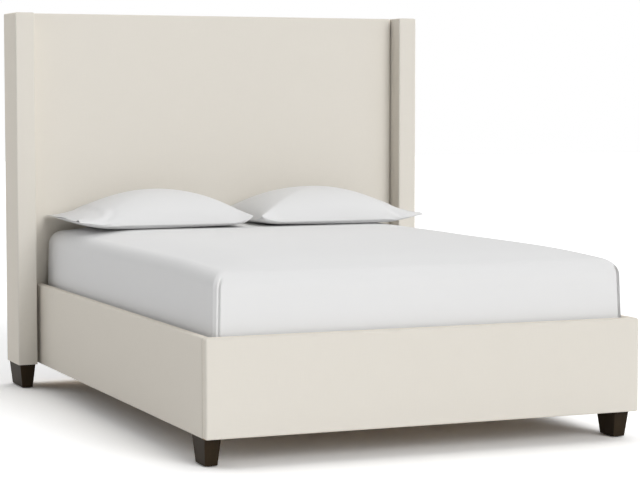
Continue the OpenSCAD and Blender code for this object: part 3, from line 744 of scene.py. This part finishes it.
@dataclass
class SideRails(Upholstery):
    """The two padded side rails."""

    top_radius: float = 8 * MM
    inner_radius: float = 5 * MM
    base_radius: float = 4 * MM
    end_radius: float = 3.4 * MM

    def shape(self, side: str, node_name: str, inset: float) -> Stock:
        """Shapes a rail in a node's box.

        Args:
            side: left or right.
            node_name: the node.
            inset: how far its rounds are drawn in.

        Returns:
            The rail's outer shape.
        """
        low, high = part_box(node_name)
        stock = Stock(low, high)
        outer, inner = (low.x, high.x) if side == "left" else (high.x, low.x)
        on_outer, on_inner = stock.on(Axis.X, outer), stock.on(Axis.X, inner)
        on_top, on_base = stock.on(Axis.Z, high.z), stock.on(Axis.Z, low.z)
        stock.round_edges(meeting(on_outer, on_top), self.top_radius - inset, segments=4)
        stock.round_edges(meeting(on_inner, on_top), self.inner_radius - inset, segments=3)
        stock.round_edges(meeting(on_outer, on_base), self.base_radius - inset, segments=3)
        stock.round_edges(stock.on(Axis.Y, low.y), self.end_radius - inset, segments=2)
        return stock

    def build(self) -> None:
        """Builds both rails' covers and foam."""
        for side in ("left", "right"):
            padding = self.shape(side, f"{side}_rail_padding", self.wall)
            self.foam(padding, f"{side}_rail_padding", [[f"{side}_rail_board"]])
            stock = self.shape(side, f"{side}_rail_cover", 0.0)
            stock.divide(self.step, Axis.Y, Axis.Z)
            stock.open_side(Axis.Y, stock.high.y)
            self.soften(stock, Axis.X, keep_back=False)
            self.cover(stock, f"{side}_rail_cover")


@dataclass
class Footboard(Upholstery):
    """The padded footboard, whose cover wraps round its ends."""

    top_radius: float = 10 * MM
    back_radius: float = 3 * MM
    base_radius: float = 6 * MM
    front_corner_radius: float = 8 * MM
    back_corner_radius: float = 4 * MM

    def shape(self, node_name: str, inset: float) -> Stock:
        """Shapes the footboard in a node's box.

        Args:
            node_name: the node.
            inset: how far its rounds are drawn in.

        Returns:
            The footboard's outer shape.
        """
        low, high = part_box(node_name)
        stock = Stock(low, high)
        front, back = stock.on(Axis.Y, low.y), stock.on(Axis.Y, high.y)
        top, base = stock.on(Axis.Z, high.z), stock.on(Axis.Z, low.z)
        ends = [stock.on(Axis.X, low.x), stock.on(Axis.X, high.x)]

        def corner(face: EdgeTest) -> EdgeTest:
            """Returns a test for the two edges where a face meets the ends."""
            return lambda a, b: face(a, b) and any(end(a, b) for end in ends)

        stock.round_edges(corner(front), self.front_corner_radius - inset, segments=4)
        stock.round_edges(corner(back), self.back_corner_radius - inset, segments=2)
        stock.round_edges(lambda a, b: top(a, b) and not back(a, b), self.top_radius - inset, segments=5)
        stock.round_edges(meeting(top, back), self.back_radius - inset, segments=4)
        stock.round_edges(base, self.base_radius - inset, segments=3)
        return stock

    def build(self) -> None:
        """Builds the footboard's cover and foam."""
        self.foam(self.shape("footboard_padding", self.wall), "footboard_padding", [["footboard_board"]])
        stock = self.shape("footboard_cover", 0.0)
        stock.divide(self.step, Axis.X, Axis.Z)
        self.soften(stock, Axis.Y, keep_back=True)
        self.cover(stock, "footboard_cover")


@dataclass
class Headboard(Upholstery):
    """The padded panel, which rolls back at its sides between the wings."""

    radius: float = 9 * MM
    shoulder: float = 2 * MM
    shoulder_run: float = 20 * MM
    shoulder_cuts: tuple[float, ...] = (0.45, 0.6, 0.8, 1.0)
    side_gap: float = 3 * MM
    crown: float = 3.0 * MM
    ripple: float = 0.9 * MM

    def shape(self, node_name: str, inset: float) -> Stock:
        """Shapes the panel in a node's box.

        Args:
            node_name: the node.
            inset: how far its rounds are drawn in.

        Returns:
            The panel's outer shape.
        """
        low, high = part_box(node_name)
        stock = Stock(low, high)
        front, top = stock.on(Axis.Y, low.y), stock.on(Axis.Z, high.z)

        def soft(a: Vector, b: Vector) -> bool:
            """Says whether an edge is a front upright or one of the top's, apart from its back one."""
            return (front(a, b) and a.z != b.z) or (top(a, b) and min(a.y, b.y) < high.y)

        stock.round_edges(soft, self.radius - inset, segments=6)
        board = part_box("headboard_face_board")[0].y
        steps = [self.shoulder_run * share for share in self.shoulder_cuts]
        stock.slice(Axis.X, [edge for step in steps for edge in (low.x + step, high.x - step)])
        stock.slice(Axis.Y, [board - self.side_gap, board])
        half, depth = (high.x - low.x) / 2, high.y - low.y

        def fall_back(place: Vector, normal: Vector) -> Vector:
            """Draws a point back near the sides, and in towards the middle in front of the board.

            Args:
                place: the point.
                normal: its normal.

            Returns:
                Its new place.
            """
            near = 1 - smooth_step(0.0, self.shoulder_run, half - abs(place.x))
            clear = self.side_gap * (1 - smooth_step(board - self.side_gap, board, place.y))
            place.y += self.shoulder * near * (high.y - place.y) / depth
            place.x *= 1 - clear / half
            return place

        stock.bend(fall_back)
        return stock

    def build(self) -> None:
        """Builds the panel's foam, and its cover, which is open at its back and its bottom."""
        carcass = ["headboard_face_board", "headboard_left_stile", "headboard_right_stile"]
        cores = [carcass, ["headboard_fixing_board"]]
        self.foam(self.shape("headboard_padding", self.wall), "headboard_padding", cores)
        stock = self.shape("headboard_cover", 0.0)
        stock.open_side(Axis.Y, stock.high.y)
        stock.open_side(Axis.Z, stock.low.z)
        stock.divide(self.step, Axis.X, Axis.Z)
        self.soften(stock, Axis.Y, keep_back=True)
        self.cover(stock, "headboard_cover")


@dataclass
class Wings(Upholstery):
    """The two padded wings, with soft edges all round but at the bottom."""

    radius: float = 6 * MM

    def shape(self, node_name: str, inset: float) -> Stock:
        """Shapes a wing in a node's box.

        Args:
            node_name: the node.
            inset: how far its rounds are drawn in.

        Returns:
            The wing's outer shape.
        """
        low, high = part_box(node_name)
        stock = Stock(low, high)
        bottom = stock.on(Axis.Z, low.z)
        stock.round_edges(lambda a, b: not bottom(a, b), self.radius - inset, segments=5)
        return stock

    def build(self) -> None:
        """Builds both wings' foam, and their covers, which are open at the bottom."""
        for side in ("left", "right"):
            padding = self.shape(f"{side}_wing_padding", self.wall)
            self.foam(padding, f"{side}_wing_padding", [[f"{side}_wing_skins"]])
            stock = self.shape(f"{side}_wing_cover", 0.0)
            stock.open_side(Axis.Z, stock.low.z)
            stock.divide(self.step, Axis.Z, Axis.Y)
            self.soften(stock, Axis.X, keep_back=False)
            self.cover(stock, f"{side}_wing_cover")


@dataclass
class BlockLegs:
    """The four tapered block legs."""

    edge_radius: float = 1.2 * MM

    def shape(self, name: str) -> Stock:
        """Shapes a leg in its node's box, with the node's taper.

        Args:
            name: the leg's node.

        Returns:
            The leg.
        """
        low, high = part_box(name)
        stock = Stock(low, high)
        middle = (low + high) / 2
        mesh = frame["nodes"][name].data
        foot = [v.co for v in mesh.vertices if v.co.z < low.z + self.edge_radius]
        half = Vector((max(p.x for p in foot) - middle.x, max(p.y for p in foot) - middle.y, 0))

        def taper(place: Vector, normal: Vector) -> Vector:
            """Draws the lower corners in to the size of the leg's foot.

            Args:
                place: the point.
                normal: its normal.

            Returns:
                Its new place.
            """
            if place.z < middle.z:
                place.x = middle.x + math.copysign(half.x, place.x - middle.x)
                place.y = middle.y + math.copysign(half.y, place.y - middle.y)
            return place

        stock.bend(taper)
        stock.round_edges(lambda a, b: True, self.edge_radius, segments=2)
        return stock

    def build(self) -> None:
        """Builds the legs."""
        for name in ("left_foot_leg", "right_foot_leg", "left_wing_leg", "right_wing_leg"):
            piece = self.shape(name).to_piece(f"{name}_block", ESPRESSO)
            flat_shaded(piece)
            settle(piece, name, "frame")


@dataclass
class MadeMattress:
    """The mattress in its fitted sheet."""

    # The sides, from the bottom round to the top
    corner_radius: float = 14 * MM
    head_corner_radius: float = 14 * MM
    base_radius: float = 16 * MM
    base_rings: int = 4
    waist: float = 5 * MM
    waist_height: float = 0.42
    lean: float = 8 * MM
    roll_radius: float = 58 * MM
    roll_rings: int = 9
    step: float = 40 * MM

    # The top: its crown, and how it falls away towards the foot
    crown_rise: float = 21 * MM
    crown_run: float = 190 * MM
    head_share: float = 0.35
    foot_drop: float = 17 * MM
    foot_run: float = 550 * MM

    # The two corner seams, left and right, each with a welt outside it and a groove inside it
    seams: tuple[float, float] = (-747 * MM, 755 * MM)
    seam_cell: float = 1.25 * MM
    seam_cells: int = 12
    seam_edge: tuple[float, float] = (-0.8 * MM, 0.8 * MM)
    seam_depth: float = 11 * MM
    seam_out: tuple[float, float] = (4.5 * MM, 11 * MM)
    welt_height: float = 5 * MM
    welt_rise: tuple[float, float] = (-12 * MM, -5 * MM)
    seam_top: tuple[float, float] = (20 * MM, 34 * MM)
    seam_facing: tuple[float, float] = (0.7, 0.9)

    # The unevenness of the filling, which begins a little above the bottom
    undulation: float = 1.2 * MM
    undulation_size: float = 300 * MM
    undulation_start: tuple[float, float] = (0.1, 0.3)

    # The sheet, whose hem lies under the mattress
    sheet_wall: float = 0.8 * MM
    hem: float = 90 * MM
    facing_down: float = -0.9

    def seam_relief(self, x: float) -> float:
        """Adds up what the corner seams do to an end: a welt on the outer side of each, then a groove.

        Args:
            x: a place across the bed.

        Returns:
            How far the end stands out there.
        """
        relief = 0.0
        for seam in self.seams:
            inward = (seam - x) * math.copysign(1.0, seam)
            past = smooth_step(*self.seam_edge, inward)
            relief += self.welt_height * smooth_step(*self.welt_rise, inward) * (1 - past)
            relief -= self.seam_depth * past * (1 - smooth_step(*self.seam_out, inward))
        return relief

    def inset(self, up: float, tall: float) -> float:
        """Returns how far the side is drawn in at a height.

        Args:
            up: the height above the bottom.
            tall: the height at which the roll ends in the top.

        Returns:
            The distance from the box's side.
        """
        if up < self.base_radius:
            return self.base_radius - math.sqrt(max(0.0, up * (2 * self.base_radius - up)))
        roll_start = tall - self.roll_radius
        waist = tall * self.waist_height
        lean = self.waist * smooth_step(self.base_radius, waist, up)
        lean += (self.lean - self.waist) * smooth_step(waist, roll_start, up)
        into_roll = max(0.0, up - roll_start)
        return lean + self.roll_radius - math.sqrt(max(0.0, self.roll_radius ** 2 - into_roll ** 2))

    def heights(self, tall: float) -> list[float]:
        """Spreads the rings of the side, closely over its rounds and evenly between them.

        Args:
            tall: the height at which the roll ends in the top.

        Returns:
            The heights at which the side is cut.
        """
        roll_start = tall - self.roll_radius
        base = [
            self.base_radius * (1 - math.cos(math.pi / 2 * ring / self.base_rings))
            for ring in range(1, self.base_rings + 1)
        ]
        side = spaced(self.base_radius, roll_start, self.step)
        roll = [
            roll_start + self.roll_radius * math.sin(math.pi / 2 * ring / self.roll_rings)
            for ring in range(self.roll_rings)
        ]
        return base + side + roll

    def blank(self, low: Vector, high: Vector, tall: float) -> Stock:
        """Cuts the mattress out square, with round corners and with its cells, which are small at the seams.

        Args:
            low: the lowest corner of the mattress's box.
            high: its highest corner.
            tall: how high the blank is.

        Returns:
            The blank.
        """
        stock = Stock(low, Vector((high.x, high.y, low.z + tall)))
        foot, head = stock.on(Axis.Y, low.y), stock.on(Axis.Y, high.y)
        stock.round_edges(lambda a, b: foot(a, b) and a.z != b.z, self.corner_radius, segments=8)
        stock.round_edges(lambda a, b: head(a, b) and a.z != b.z, self.head_corner_radius, segments=6)
        stock.divide(self.step, Axis.X)
        for seam in self.seams:
            inward = -math.copysign(self.seam_cell, seam)
            stock.slice(Axis.X, [seam + inward * cell for cell in range(-self.seam_cells, self.seam_cells)])
        stock.divide(self.step, Axis.Y)
        stock.slice(Axis.Z, [low.z + up for up in self.heights(tall)])
        return stock

    def form(self, low: Vector, high: Vector) -> Stock:
        """Shapes the mattress's rolled and crowned form.

        Args:
            low: the lowest corner of its box.
            high: the highest corner.

        Returns:
            The form.
        """
        tall = high.z - self.crown_rise - low.z
        stock = self.blank(low, high, tall)
        middle = (low + high) / 2
        half = (high - low) / 2
        core = half - Vector((self.corner_radius, self.corner_radius, 0))

        def rise(inset: float) -> float:
            """Returns the crown's share at a distance in from a side."""
            share = min(1.0, max(0.0, (inset - self.lean - self.roll_radius) / self.crown_run))
            return math.sin(math.pi / 2 * share)

        def plump(place: Vector, normal: Vector) -> Vector:
            """Moves a point of the blank to its place on the mattress.

            Args:
                place: the point.
                normal: its normal.

            Returns:
                Its new place.
            """
            up = place.z - low.z

            # The corner seams show at the foot and the head, and fade near the top
            shown = smooth_step(*self.seam_top, tall - up) * smooth_step(*self.seam_facing, abs(normal.y))
            place.y += self.seam_relief(place.x) * shown * math.copysign(1.0, normal.y)

            # The sides draw in with height, and the corners keep their rounds
            drawn = self.inset(up, tall)
            for k in (0, 1):
                offset = place[k] - middle[k]
                held = min(core[k], max(-core[k], offset))
                share = self.head_share if k == 1 and offset > 0 else 1.0
                place[k] = middle[k] + held * (core[k] - drawn * share) / core[k] + offset - held

            # The top rises to its crown, and falls away towards the foot
            if up > tall - TOUCH:
                x_in, y_in = half.x - abs(place.x - middle.x), half.y - abs(place.y - middle.y)
                if place.y > middle.y:
                    y_in /= self.head_share
                place.z += self.crown_rise * rise(x_in) * rise(y_in)
            from_foot = min(1.0, max(0.0, (place.y - low.y) / self.foot_run))
            place.z -= self.foot_drop * (1 - math.sin(math.pi / 2 * from_foot)) * up / tall

            # The filling is a little uneven
            loose = smooth_step(*self.undulation_start, up / tall)
            place += normal * uneven(place, self.undulation_size, self.undulation) * loose
            return place

        stock.bend(plump)
        return stock

    def open_underside(self, stock: Stock) -> None:
        """Takes away the sheet's underside inside its hem.

        Args:
            stock: the sheet in the making.
        """
        stock.bm.normal_update()
        centre = (stock.low + stock.high) / 2
        reach = (stock.high - stock.low) / 2 - Vector((self.hem, self.hem, 0))
        bare = []
        for face in stock.bm.faces:
            offset = face.calc_center_median() - centre
            if face.normal.z < self.facing_down and abs(offset.x) < reach.x and abs(offset.y) < reach.y:
                bare.append(face)
        bmesh.ops.delete(stock.bm, geom=bare, context="FACES")

    def build(self) -> None:
        """Builds the mattress and the sheet around it."""
        mattress = self.form(*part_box("mattress")).to_piece("mattress_body", TICKING)
        settle(mattress, "mattress", "mattress")
        low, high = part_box("fitted_sheet")
        stock = self.form(low, high)
        self.open_underside(stock)
        sheet = stock.to_piece("fitted_sheet_cloth", COTTON)
        smoothed(sheet, 1)
        with_wall(sheet, self.sheet_wall)
        settle(sheet, "fitted_sheet", "mattress")
        drop = (high.z - low.z) + self.hem
        size = (high.x - low.x + 2 * drop, high.y - low.y + 2 * drop)
        area = size[0] * size[1] - 4 * drop * drop


@dataclass(frozen=True)
class ClothRun:
    """How a pillowcase is let settle: its cloth, the pillow's push and the steps."""

    frames: int = 24
    quality: int = 7
    spare: float = 0.008
    pressure: float = 1.5
    mass: float = 0.25
    air_damping: float = 4.0
    stretch_stiffness: float = 25.0
    shear_stiffness: float = 12.0
    bending_stiffness: float = 1.2
    held_run: float = 60 * MM
    skin: float = 2 * MM
    table_size: float = 4.0
    table_skin: float = 1 * MM
    reach: float = 6 * MM


@dataclass
class BedPillow:
    """One pillow in its case, which lies with its open hem at the outer end.

    The case is made for the left side of the bed and mirrored for the right. Places on it run from
    -1 at the hem to 1 at the other end, and from -1 at the edge near the foot to 1 at the far edge.
    """

    side: str
    run: ClothRun = ClothRun()

    # The case as it is cut, laid flat
    flat_length: float = 762 * MM
    flat_depth: float = 508 * MM
    flat_height: float = 2 * MM
    cell: float = 11 * MM
    edge_cells: tuple[float, ...] = (1.5 * MM, 4.5 * MM)
    edge_crowding: float = 0.5
    case_wall: float = 0.8 * MM
    insert_gap: float = 3 * MM

    # The filled pillow's outline
    crown_shift: float = 34 * MM
    hem_slack: float = 5 * MM
    draw: float = 14 * MM
    end_draw: float = 8 * MM
    seam_height: float = 14 * MM
    corner_height: float = 39 * MM
    corner_start: float = 0.7

    # How full it is from edge to crown
    length_power: float = 2.0
    depth_power: float = 2.3
    hem_fullness: float = 1.0
    tip_fullness: float = 0.6
    depth_fullness: float = 0.55
    hem_ridge: float = 0.2
    tip_ridge: float = 0.6
    ridge_change: float = 0.3
    belly: float = 1.8

    # The empty hem past the pillow
    hem: float = 68 * MM
    hem_start: float = 0.62
    hem_gap: float = 1.2 * MM
    hem_lift: float = 9 * MM
    hem_sag: float = 5 * MM
    curl_place: float = -0.86
    curl_width: float = 0.09
    slack_place: float = 0.25
    slack_width: float = 0.35
    slack_share: float = 0.35
    wave: float = 1.5 * MM
    wave_rate: float = 7.0
    wave_start: float = 1.0

    def __post_init__(self) -> None:
        """Takes the pillow's place and size from its node."""
        low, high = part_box(f"{self.side}_pillowcase")
        self.base = Vector(((low.x + high.x) / 2, (low.y + high.y) / 2, low.z))
        self.half = Vector(((high.x - low.x) / 2, (high.y - low.y) / 2, 0))
        self.height = high.z - low.z
        self.hem_line = self.hem - self.half.x

    def flat_case(self) -> Stock:
        """Makes the case as it lies empty: two layers, sewn on three sides and open at the hem.

        Returns:
            The case, with its UV map.
        """
        half = Vector((self.flat_length, self.flat_depth, self.flat_height)) / 2
        stock = Stock(-half, half)
        stock.divide(self.cell, Axis.X, Axis.Y)
        for inset in self.edge_cells:
            stock.slice(Axis.X, [half.x - inset])
            stock.slice(Axis.Y, [inset - half.y, half.y - inset])
        stock.open_side(Axis.X, -half.x)
        bmesh.ops.recalc_face_normals(stock.bm, faces=stock.bm.faces)
        lay_out(stock.bm)
        return stock

    def fill_share(self, along: float, across: float) -> float:
        """Works out how full the pillow is at a place.

        Args:
            along: the place from the hem to the other end.
            across: the place from the near edge to the far one.

        Returns:
            A share, from 0 at the edges to 1 at the crown.
        """
        u = max(0.0, 1 - abs(along) ** self.length_power)
        u **= self.hem_fullness if along < 0 else self.tip_fullness
        v = max(0.0, 1 - abs(across) ** self.depth_power) ** self.depth_fullness
        inward = smooth_step(-self.ridge_change, self.ridge_change, along)
        ridge = self.hem_ridge + (self.tip_ridge - self.hem_ridge) * inward
        return (1 - ridge) * u * v + ridge * min(u, v)

    def seam_at(self, along: float, across: float) -> float:
        """Works out the height of the seam, which rises to the corners and along the hem.

        Args:
            along: the place from the hem to the other end.
            across: the place from the near edge to the far one.

        Returns:
            The height above the sheet.
        """
        to_corner = max(0.0, (abs(along) - self.corner_start) / (1 - self.corner_start))
        to_hem = min(1.0, max(0.0, (-along - self.hem_start) / (1 - self.hem_start)))
        lift = max(to_corner ** 2 * abs(across) ** 3, to_hem)
        return self.seam_height + (self.corner_height - self.seam_height) * lift

    def filled(self, place: Vector, normal: Vector) -> Vector:
        """Moves a point of the flat case to where it lies once the pillow is in it.

        Args:
            place: the point.
            normal: its normal, which isn't needed.

        Returns:
            The point's new place.
        """
        along, across = [
            (1 - self.edge_crowding) * raw + self.edge_crowding * math.sin(math.pi / 2 * raw)
            for raw in (2 * place.x / self.flat_length, 2 * place.y / self.flat_depth)
        ]

        # The outline, which draws in between the corners
        side = math.copysign(1.0, along)
        end = self.half.x - self.crown_shift * side - (self.hem_slack if along < 0 else 0.0)
        x = self.crown_shift + end * along - side * self.end_draw * (1 - across * across) * along * along
        y = across * (self.half.y - self.draw * (1 - along * along))

        # The upper layer swells over the filling, the lower one sinks to the sheet, and the empty hem curls
        share = self.fill_share(along, across)
        seam = self.seam_at(along, across)
        out = max(0.0, (self.hem_line - x) / self.hem)
        if place.z > 0:
            z = seam + max(self.hem_gap / 2, share * (self.height - seam))
            curl = bump(across, self.curl_place, self.curl_width)
            slack = bump(across, self.slack_place, self.slack_width)
            z += self.hem_lift * out * out * (curl + self.slack_share * slack)
        else:
            z = seam - max(self.hem_gap / 2, min(1.0, share * self.belly) * seam)
        z -= self.hem_sag * out * out * (1 - across) / 2
        z += self.wave * out * math.sin(self.wave_rate * across + self.wave_start)
        return self.base + Vector((x, y, z))

    def hold_hem(self, piece: bpy.types.Object) -> None:
        """Holds the empty hem still, and lets the cloth go softly past it.

        Args:
            piece: the case.
        """
        line = self.base.x + self.hem_line
        held = piece.vertex_groups.new(name="held")
        for vert in piece.data.vertices:
            hold = 1 - smooth_step(0.0, self.run.held_run, vert.co.x - line)
            held.add([vert.index], hold, "REPLACE")

    def make_cloth(self, piece: bpy.types.Object) -> None:
        """Makes the case cloth, cut a little too large and pushed out by the pillow.

        Args:
            piece: the case.
        """
        run = self.run
        cloth = piece.modifiers.new("cloth", "CLOTH")
        options = cloth.settings
        options.quality = run.quality
        options.mass = run.mass
        options.air_damping = run.air_damping
        options.tension_stiffness = run.stretch_stiffness
        options.compression_stiffness = run.stretch_stiffness
        options.shear_stiffness = run.shear_stiffness
        options.bending_stiffness = run.bending_stiffness
        options.shrink_min = -run.spare
        options.shrink_max = -run.spare
        options.use_pressure = True
        options.uniform_pressure_force = run.pressure
        options.vertex_group_mass = "held"
        options.effector_weights.gravity = 0.0
        cloth.collision_settings.use_collision = True
        cloth.collision_settings.distance_min = run.skin
        cloth.point_cache.frame_start = 1
        cloth.point_cache.frame_end = run.frames

    def simulate(self, piece: bpy.types.Object) -> None:
        """Lets the case settle over a firm flat bed, no further than a short reach.

        Args:
            piece: the case, whose mesh takes its new shape.
        """
        self.hold_hem(piece)
        bpy.ops.mesh.primitive_plane_add(size=self.run.table_size, location=(0, 0, self.base.z))
        table = bpy.context.object
        table.modifiers.new("stop", "COLLISION")
        table.collision.thickness_outer = self.run.table_skin
        self.make_cloth(piece)
        for step in range(1, self.run.frames + 1):
            bpy.context.scene.frame_set(step)
        before = [v.co.copy() for v in piece.data.vertices]
        bake(piece)
        for vert, start in zip(piece.data.vertices, before):
            move = vert.co - start
            if move.length > self.run.reach:
                vert.co = start + move * (self.run.reach / move.length)
        piece.vertex_groups.clear()
        bpy.data.objects.remove(table)
        bpy.context.scene.frame_set(1)

    def insert(self, case: bmesh.types.BMesh) -> bpy.types.Object:
        """Makes the pillow itself, which fills its case up to the hem.

        Args:
            case: the case's mesh, which stays as it is.

        Returns:
            The pillow.
        """
        bm = case.copy()
        end = Vector((self.base.x + self.hem_line + self.insert_gap, 0, 0))
        geom = bm.verts[:] + bm.edges[:] + bm.faces[:]
        bmesh.ops.bisect_plane(bm, geom=geom, plane_co=end, plane_no=(-1, 0, 0), clear_outer=True)
        bmesh.ops.holes_fill(bm, edges=[e for e in bm.edges if e.is_boundary])
        bmesh.ops.recalc_face_normals(bm, faces=bm.faces)
        bm.normal_update()
        for vert in bm.verts:
            vert.co -= vert.normal * self.insert_gap
        return self.placed(bm, f"{self.side}_pillow_insert", TICKING)

    def placed(self, bm: bmesh.types.BMesh, name: str, finish: Finish) -> bpy.types.Object:
        """Turns a left-hand bmesh into a piece on the pillow's own side of the bed.

        Args:
            bm: the mesh, made for the left side.
            name: the piece's name.
            finish: its finish.

        Returns:
            The piece.
        """
        if self.side == "right":
            mirrored = Matrix.Scale(-1, 4, Vector((1, 0, 0)))
            bmesh.ops.transform(bm, matrix=mirrored, space=Matrix.Translation(-self.base), verts=bm.verts)
            bmesh.ops.reverse_faces(bm, faces=bm.faces)
        for face in bm.faces:
            face.smooth = True
        return as_piece(bm, name, finish)

    def build(self) -> None:
        """Builds the case and the pillow in it."""
        stock = self.flat_case()
        stock.bend(self.filled)
        draft = as_piece(stock.bm, "draft", COTTON)
        self.simulate(draft)
        bm = bmesh.new()
        bm.from_mesh(draft.data)
        bpy.data.objects.remove(draft)
        pillow = self.insert(bm)
        smoothed(pillow, 1)
        settle(pillow, f"{self.side}_pillow", f"{self.side}_pillow")
        case = self.placed(bm, f"{self.side}_pillowcase_cloth", COTTON)
        smoothed(case, 1)
        with_wall(case, self.case_wall)
        settle(case, f"{self.side}_pillowcase", f"{self.side}_pillow")


@dataclass
class CarriedOver:
    """The nodes that keep their own shape and take a finish by their slot."""

    plain: dict[str, Finish] = field(default_factory=lambda: {
        "cream_upholstery": LINEN,
        "foam": FOAM,
        "white_cotton": COTTON,
        "mattress_ticking": TICKING,
        "pillow_ticking": TICKING,
        "dust_cloth": DUST_CLOTH,
        "webbing": WEBBING,
        "espresso_wood": ESPRESSO,
        "black_plastic": BLACK_PLASTIC,
        "zinc_steel": STEEL,
    })
    boards: dict[str, Color] = field(default_factory=lambda: {
        "pine": PINE_COLOR,
        "plywood": PLYWOOD_COLOR,
    })

    def finish_for(self, slot: str, node_name: str) -> Finish:
        """Chooses a slot's finish, with a board's grain along the node's longest side.

        Args:
            slot: the record's material slot.
            node_name: the node.

        Returns:
            The finish.
        """
        if slot in self.plain:
            return self.plain[slot]
        low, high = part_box(node_name)
        size = high - low
        along = Axis(max(range(3), key=lambda k: size[k]))
        return Timber(f"{slot}_{along.name.lower()}", self.boards[slot], along=along)

    def build(self) -> None:
        """Gives every node its finish."""
        for row in frame["record"]["subparts"]:
            node = frame["nodes"][row["node"]]
            finish = self.finish_for(row["material_slot"], row["node"])
            node.data.materials.clear()
            node.data.materials.append(finish.material())
            LOG.info("%s has %s", node.name, finish.name)


@dataclass(frozen=True)
class Glow:
    """One soft light in the dome over the studio, smaller the narrower it is."""

    toward: tuple[float, float, float]
    level: float
    narrowness: float

    def strength(self, graph: ShaderGraph, where: Signal) -> Signal:
        """Adds the nodes that give the light's share of the dome.

        Args:
            graph: the world's graph.
            where: a direction.

        Returns:
            How bright the light is in that direction.
        """
        inputs = {0: where, 1: Vector(self.toward).normalized()}
        facing = graph.add("ShaderNodeVectorMath", {"operation": "DOT_PRODUCT"}, inputs, output="Value")
        lobe = (facing * 0.5 + 0.5).math("MAXIMUM", 0.0)
        return lobe.math("POWER", self.narrowness) * self.level


@dataclass
class Studio:
    """The floor, the dome of light and the camera."""

    floor_size: float = 60.0
    glows: tuple[Glow, ...] = (
        Glow((0.247, -0.880, 0.407), 10.15, 60.0),
        Glow((-0.628, 0.566, 0.535), 1.36, 10.0),
        Glow((0.424, 0.213, 0.880), 1.95, 12.7),
    )
    camera_place: tuple[float, float, float] = (-2.9430, -7.2037, 1.1944)
    camera_yaw: float = 0.3948
    camera_pitch: float = 0.0702
    lens_mm: float = 114.6
    sensor_mm: float = 36.0

    def lay_floor(self) -> None:
        """Lays a plain pale floor that the camera sees as white."""
        bm = bmesh.new()
        bmesh.ops.create_grid(bm, x_segments=1, y_segments=1, size=self.floor_size / 2)
        as_piece(bm, "floor", FLOOR)

    def surround(self) -> None:
        """Makes the surroundings white where they are seen, and a dome of soft light on the bed."""
        world = bpy.data.worlds.new("studio")
        bpy.context.scene.world = world
        graph = ShaderGraph(world)

        # They are seen straight on, in a reflection and through clear things
        seen = graph.add("ShaderNodeLightPath", output="Is Camera Ray")
        direct = seen.math("MAXIMUM", seen.beside("Is Glossy Ray"))
        direct = direct.math("MAXIMUM", seen.beside("Is Transmission Ray"))

        # The rest of the light comes from the dome's glows
        where = graph.add("ShaderNodeTexCoord", output="Generated")
        dome = sum(glow.strength(graph, where) for glow in self.glows)
        strength = direct + (1 - direct) * dome
        shader = graph.add("ShaderNodeBackground", {}, {"Color": (1, 1, 1, 1), "Strength": strength})
        graph.add("ShaderNodeOutputWorld", {}, {"Surface": shader})

    def point_camera(self) -> None:
        """Sets the camera where the photograph's stood."""
        data = bpy.data.cameras.new("camera")
        data.lens = self.lens_mm
        data.sensor_width = self.sensor_mm
        camera = bpy.data.objects.new("camera", data)
        camera.location = self.camera_place
        camera.rotation_euler = (math.pi / 2 - self.camera_pitch, 0, -self.camera_yaw)
        bpy.context.scene.collection.objects.link(camera)
        bpy.context.scene.camera = camera

    def build(self) -> None:
        """Builds the whole studio."""
        self.lay_floor()
        self.surround()
        self.point_camera()
        bpy.context.scene.view_settings.view_transform = "Standard"


def main() -> None:
    """Builds the studio, the frame and the bedding in order."""
    logging.basicConfig(level=logging.INFO, format="%(message)s")
    parts = [
        Studio(), CarriedOver(), SideRails(), Footboard(), Headboard(), Wings(), BlockLegs(),
        MadeMattress(), BedPillow("left"), BedPillow("right"),
    ]
    for part in parts:
        part.build()
        LOG.info("%s is done", type(part).__name__)


if __name__ == "__main__":
    main()
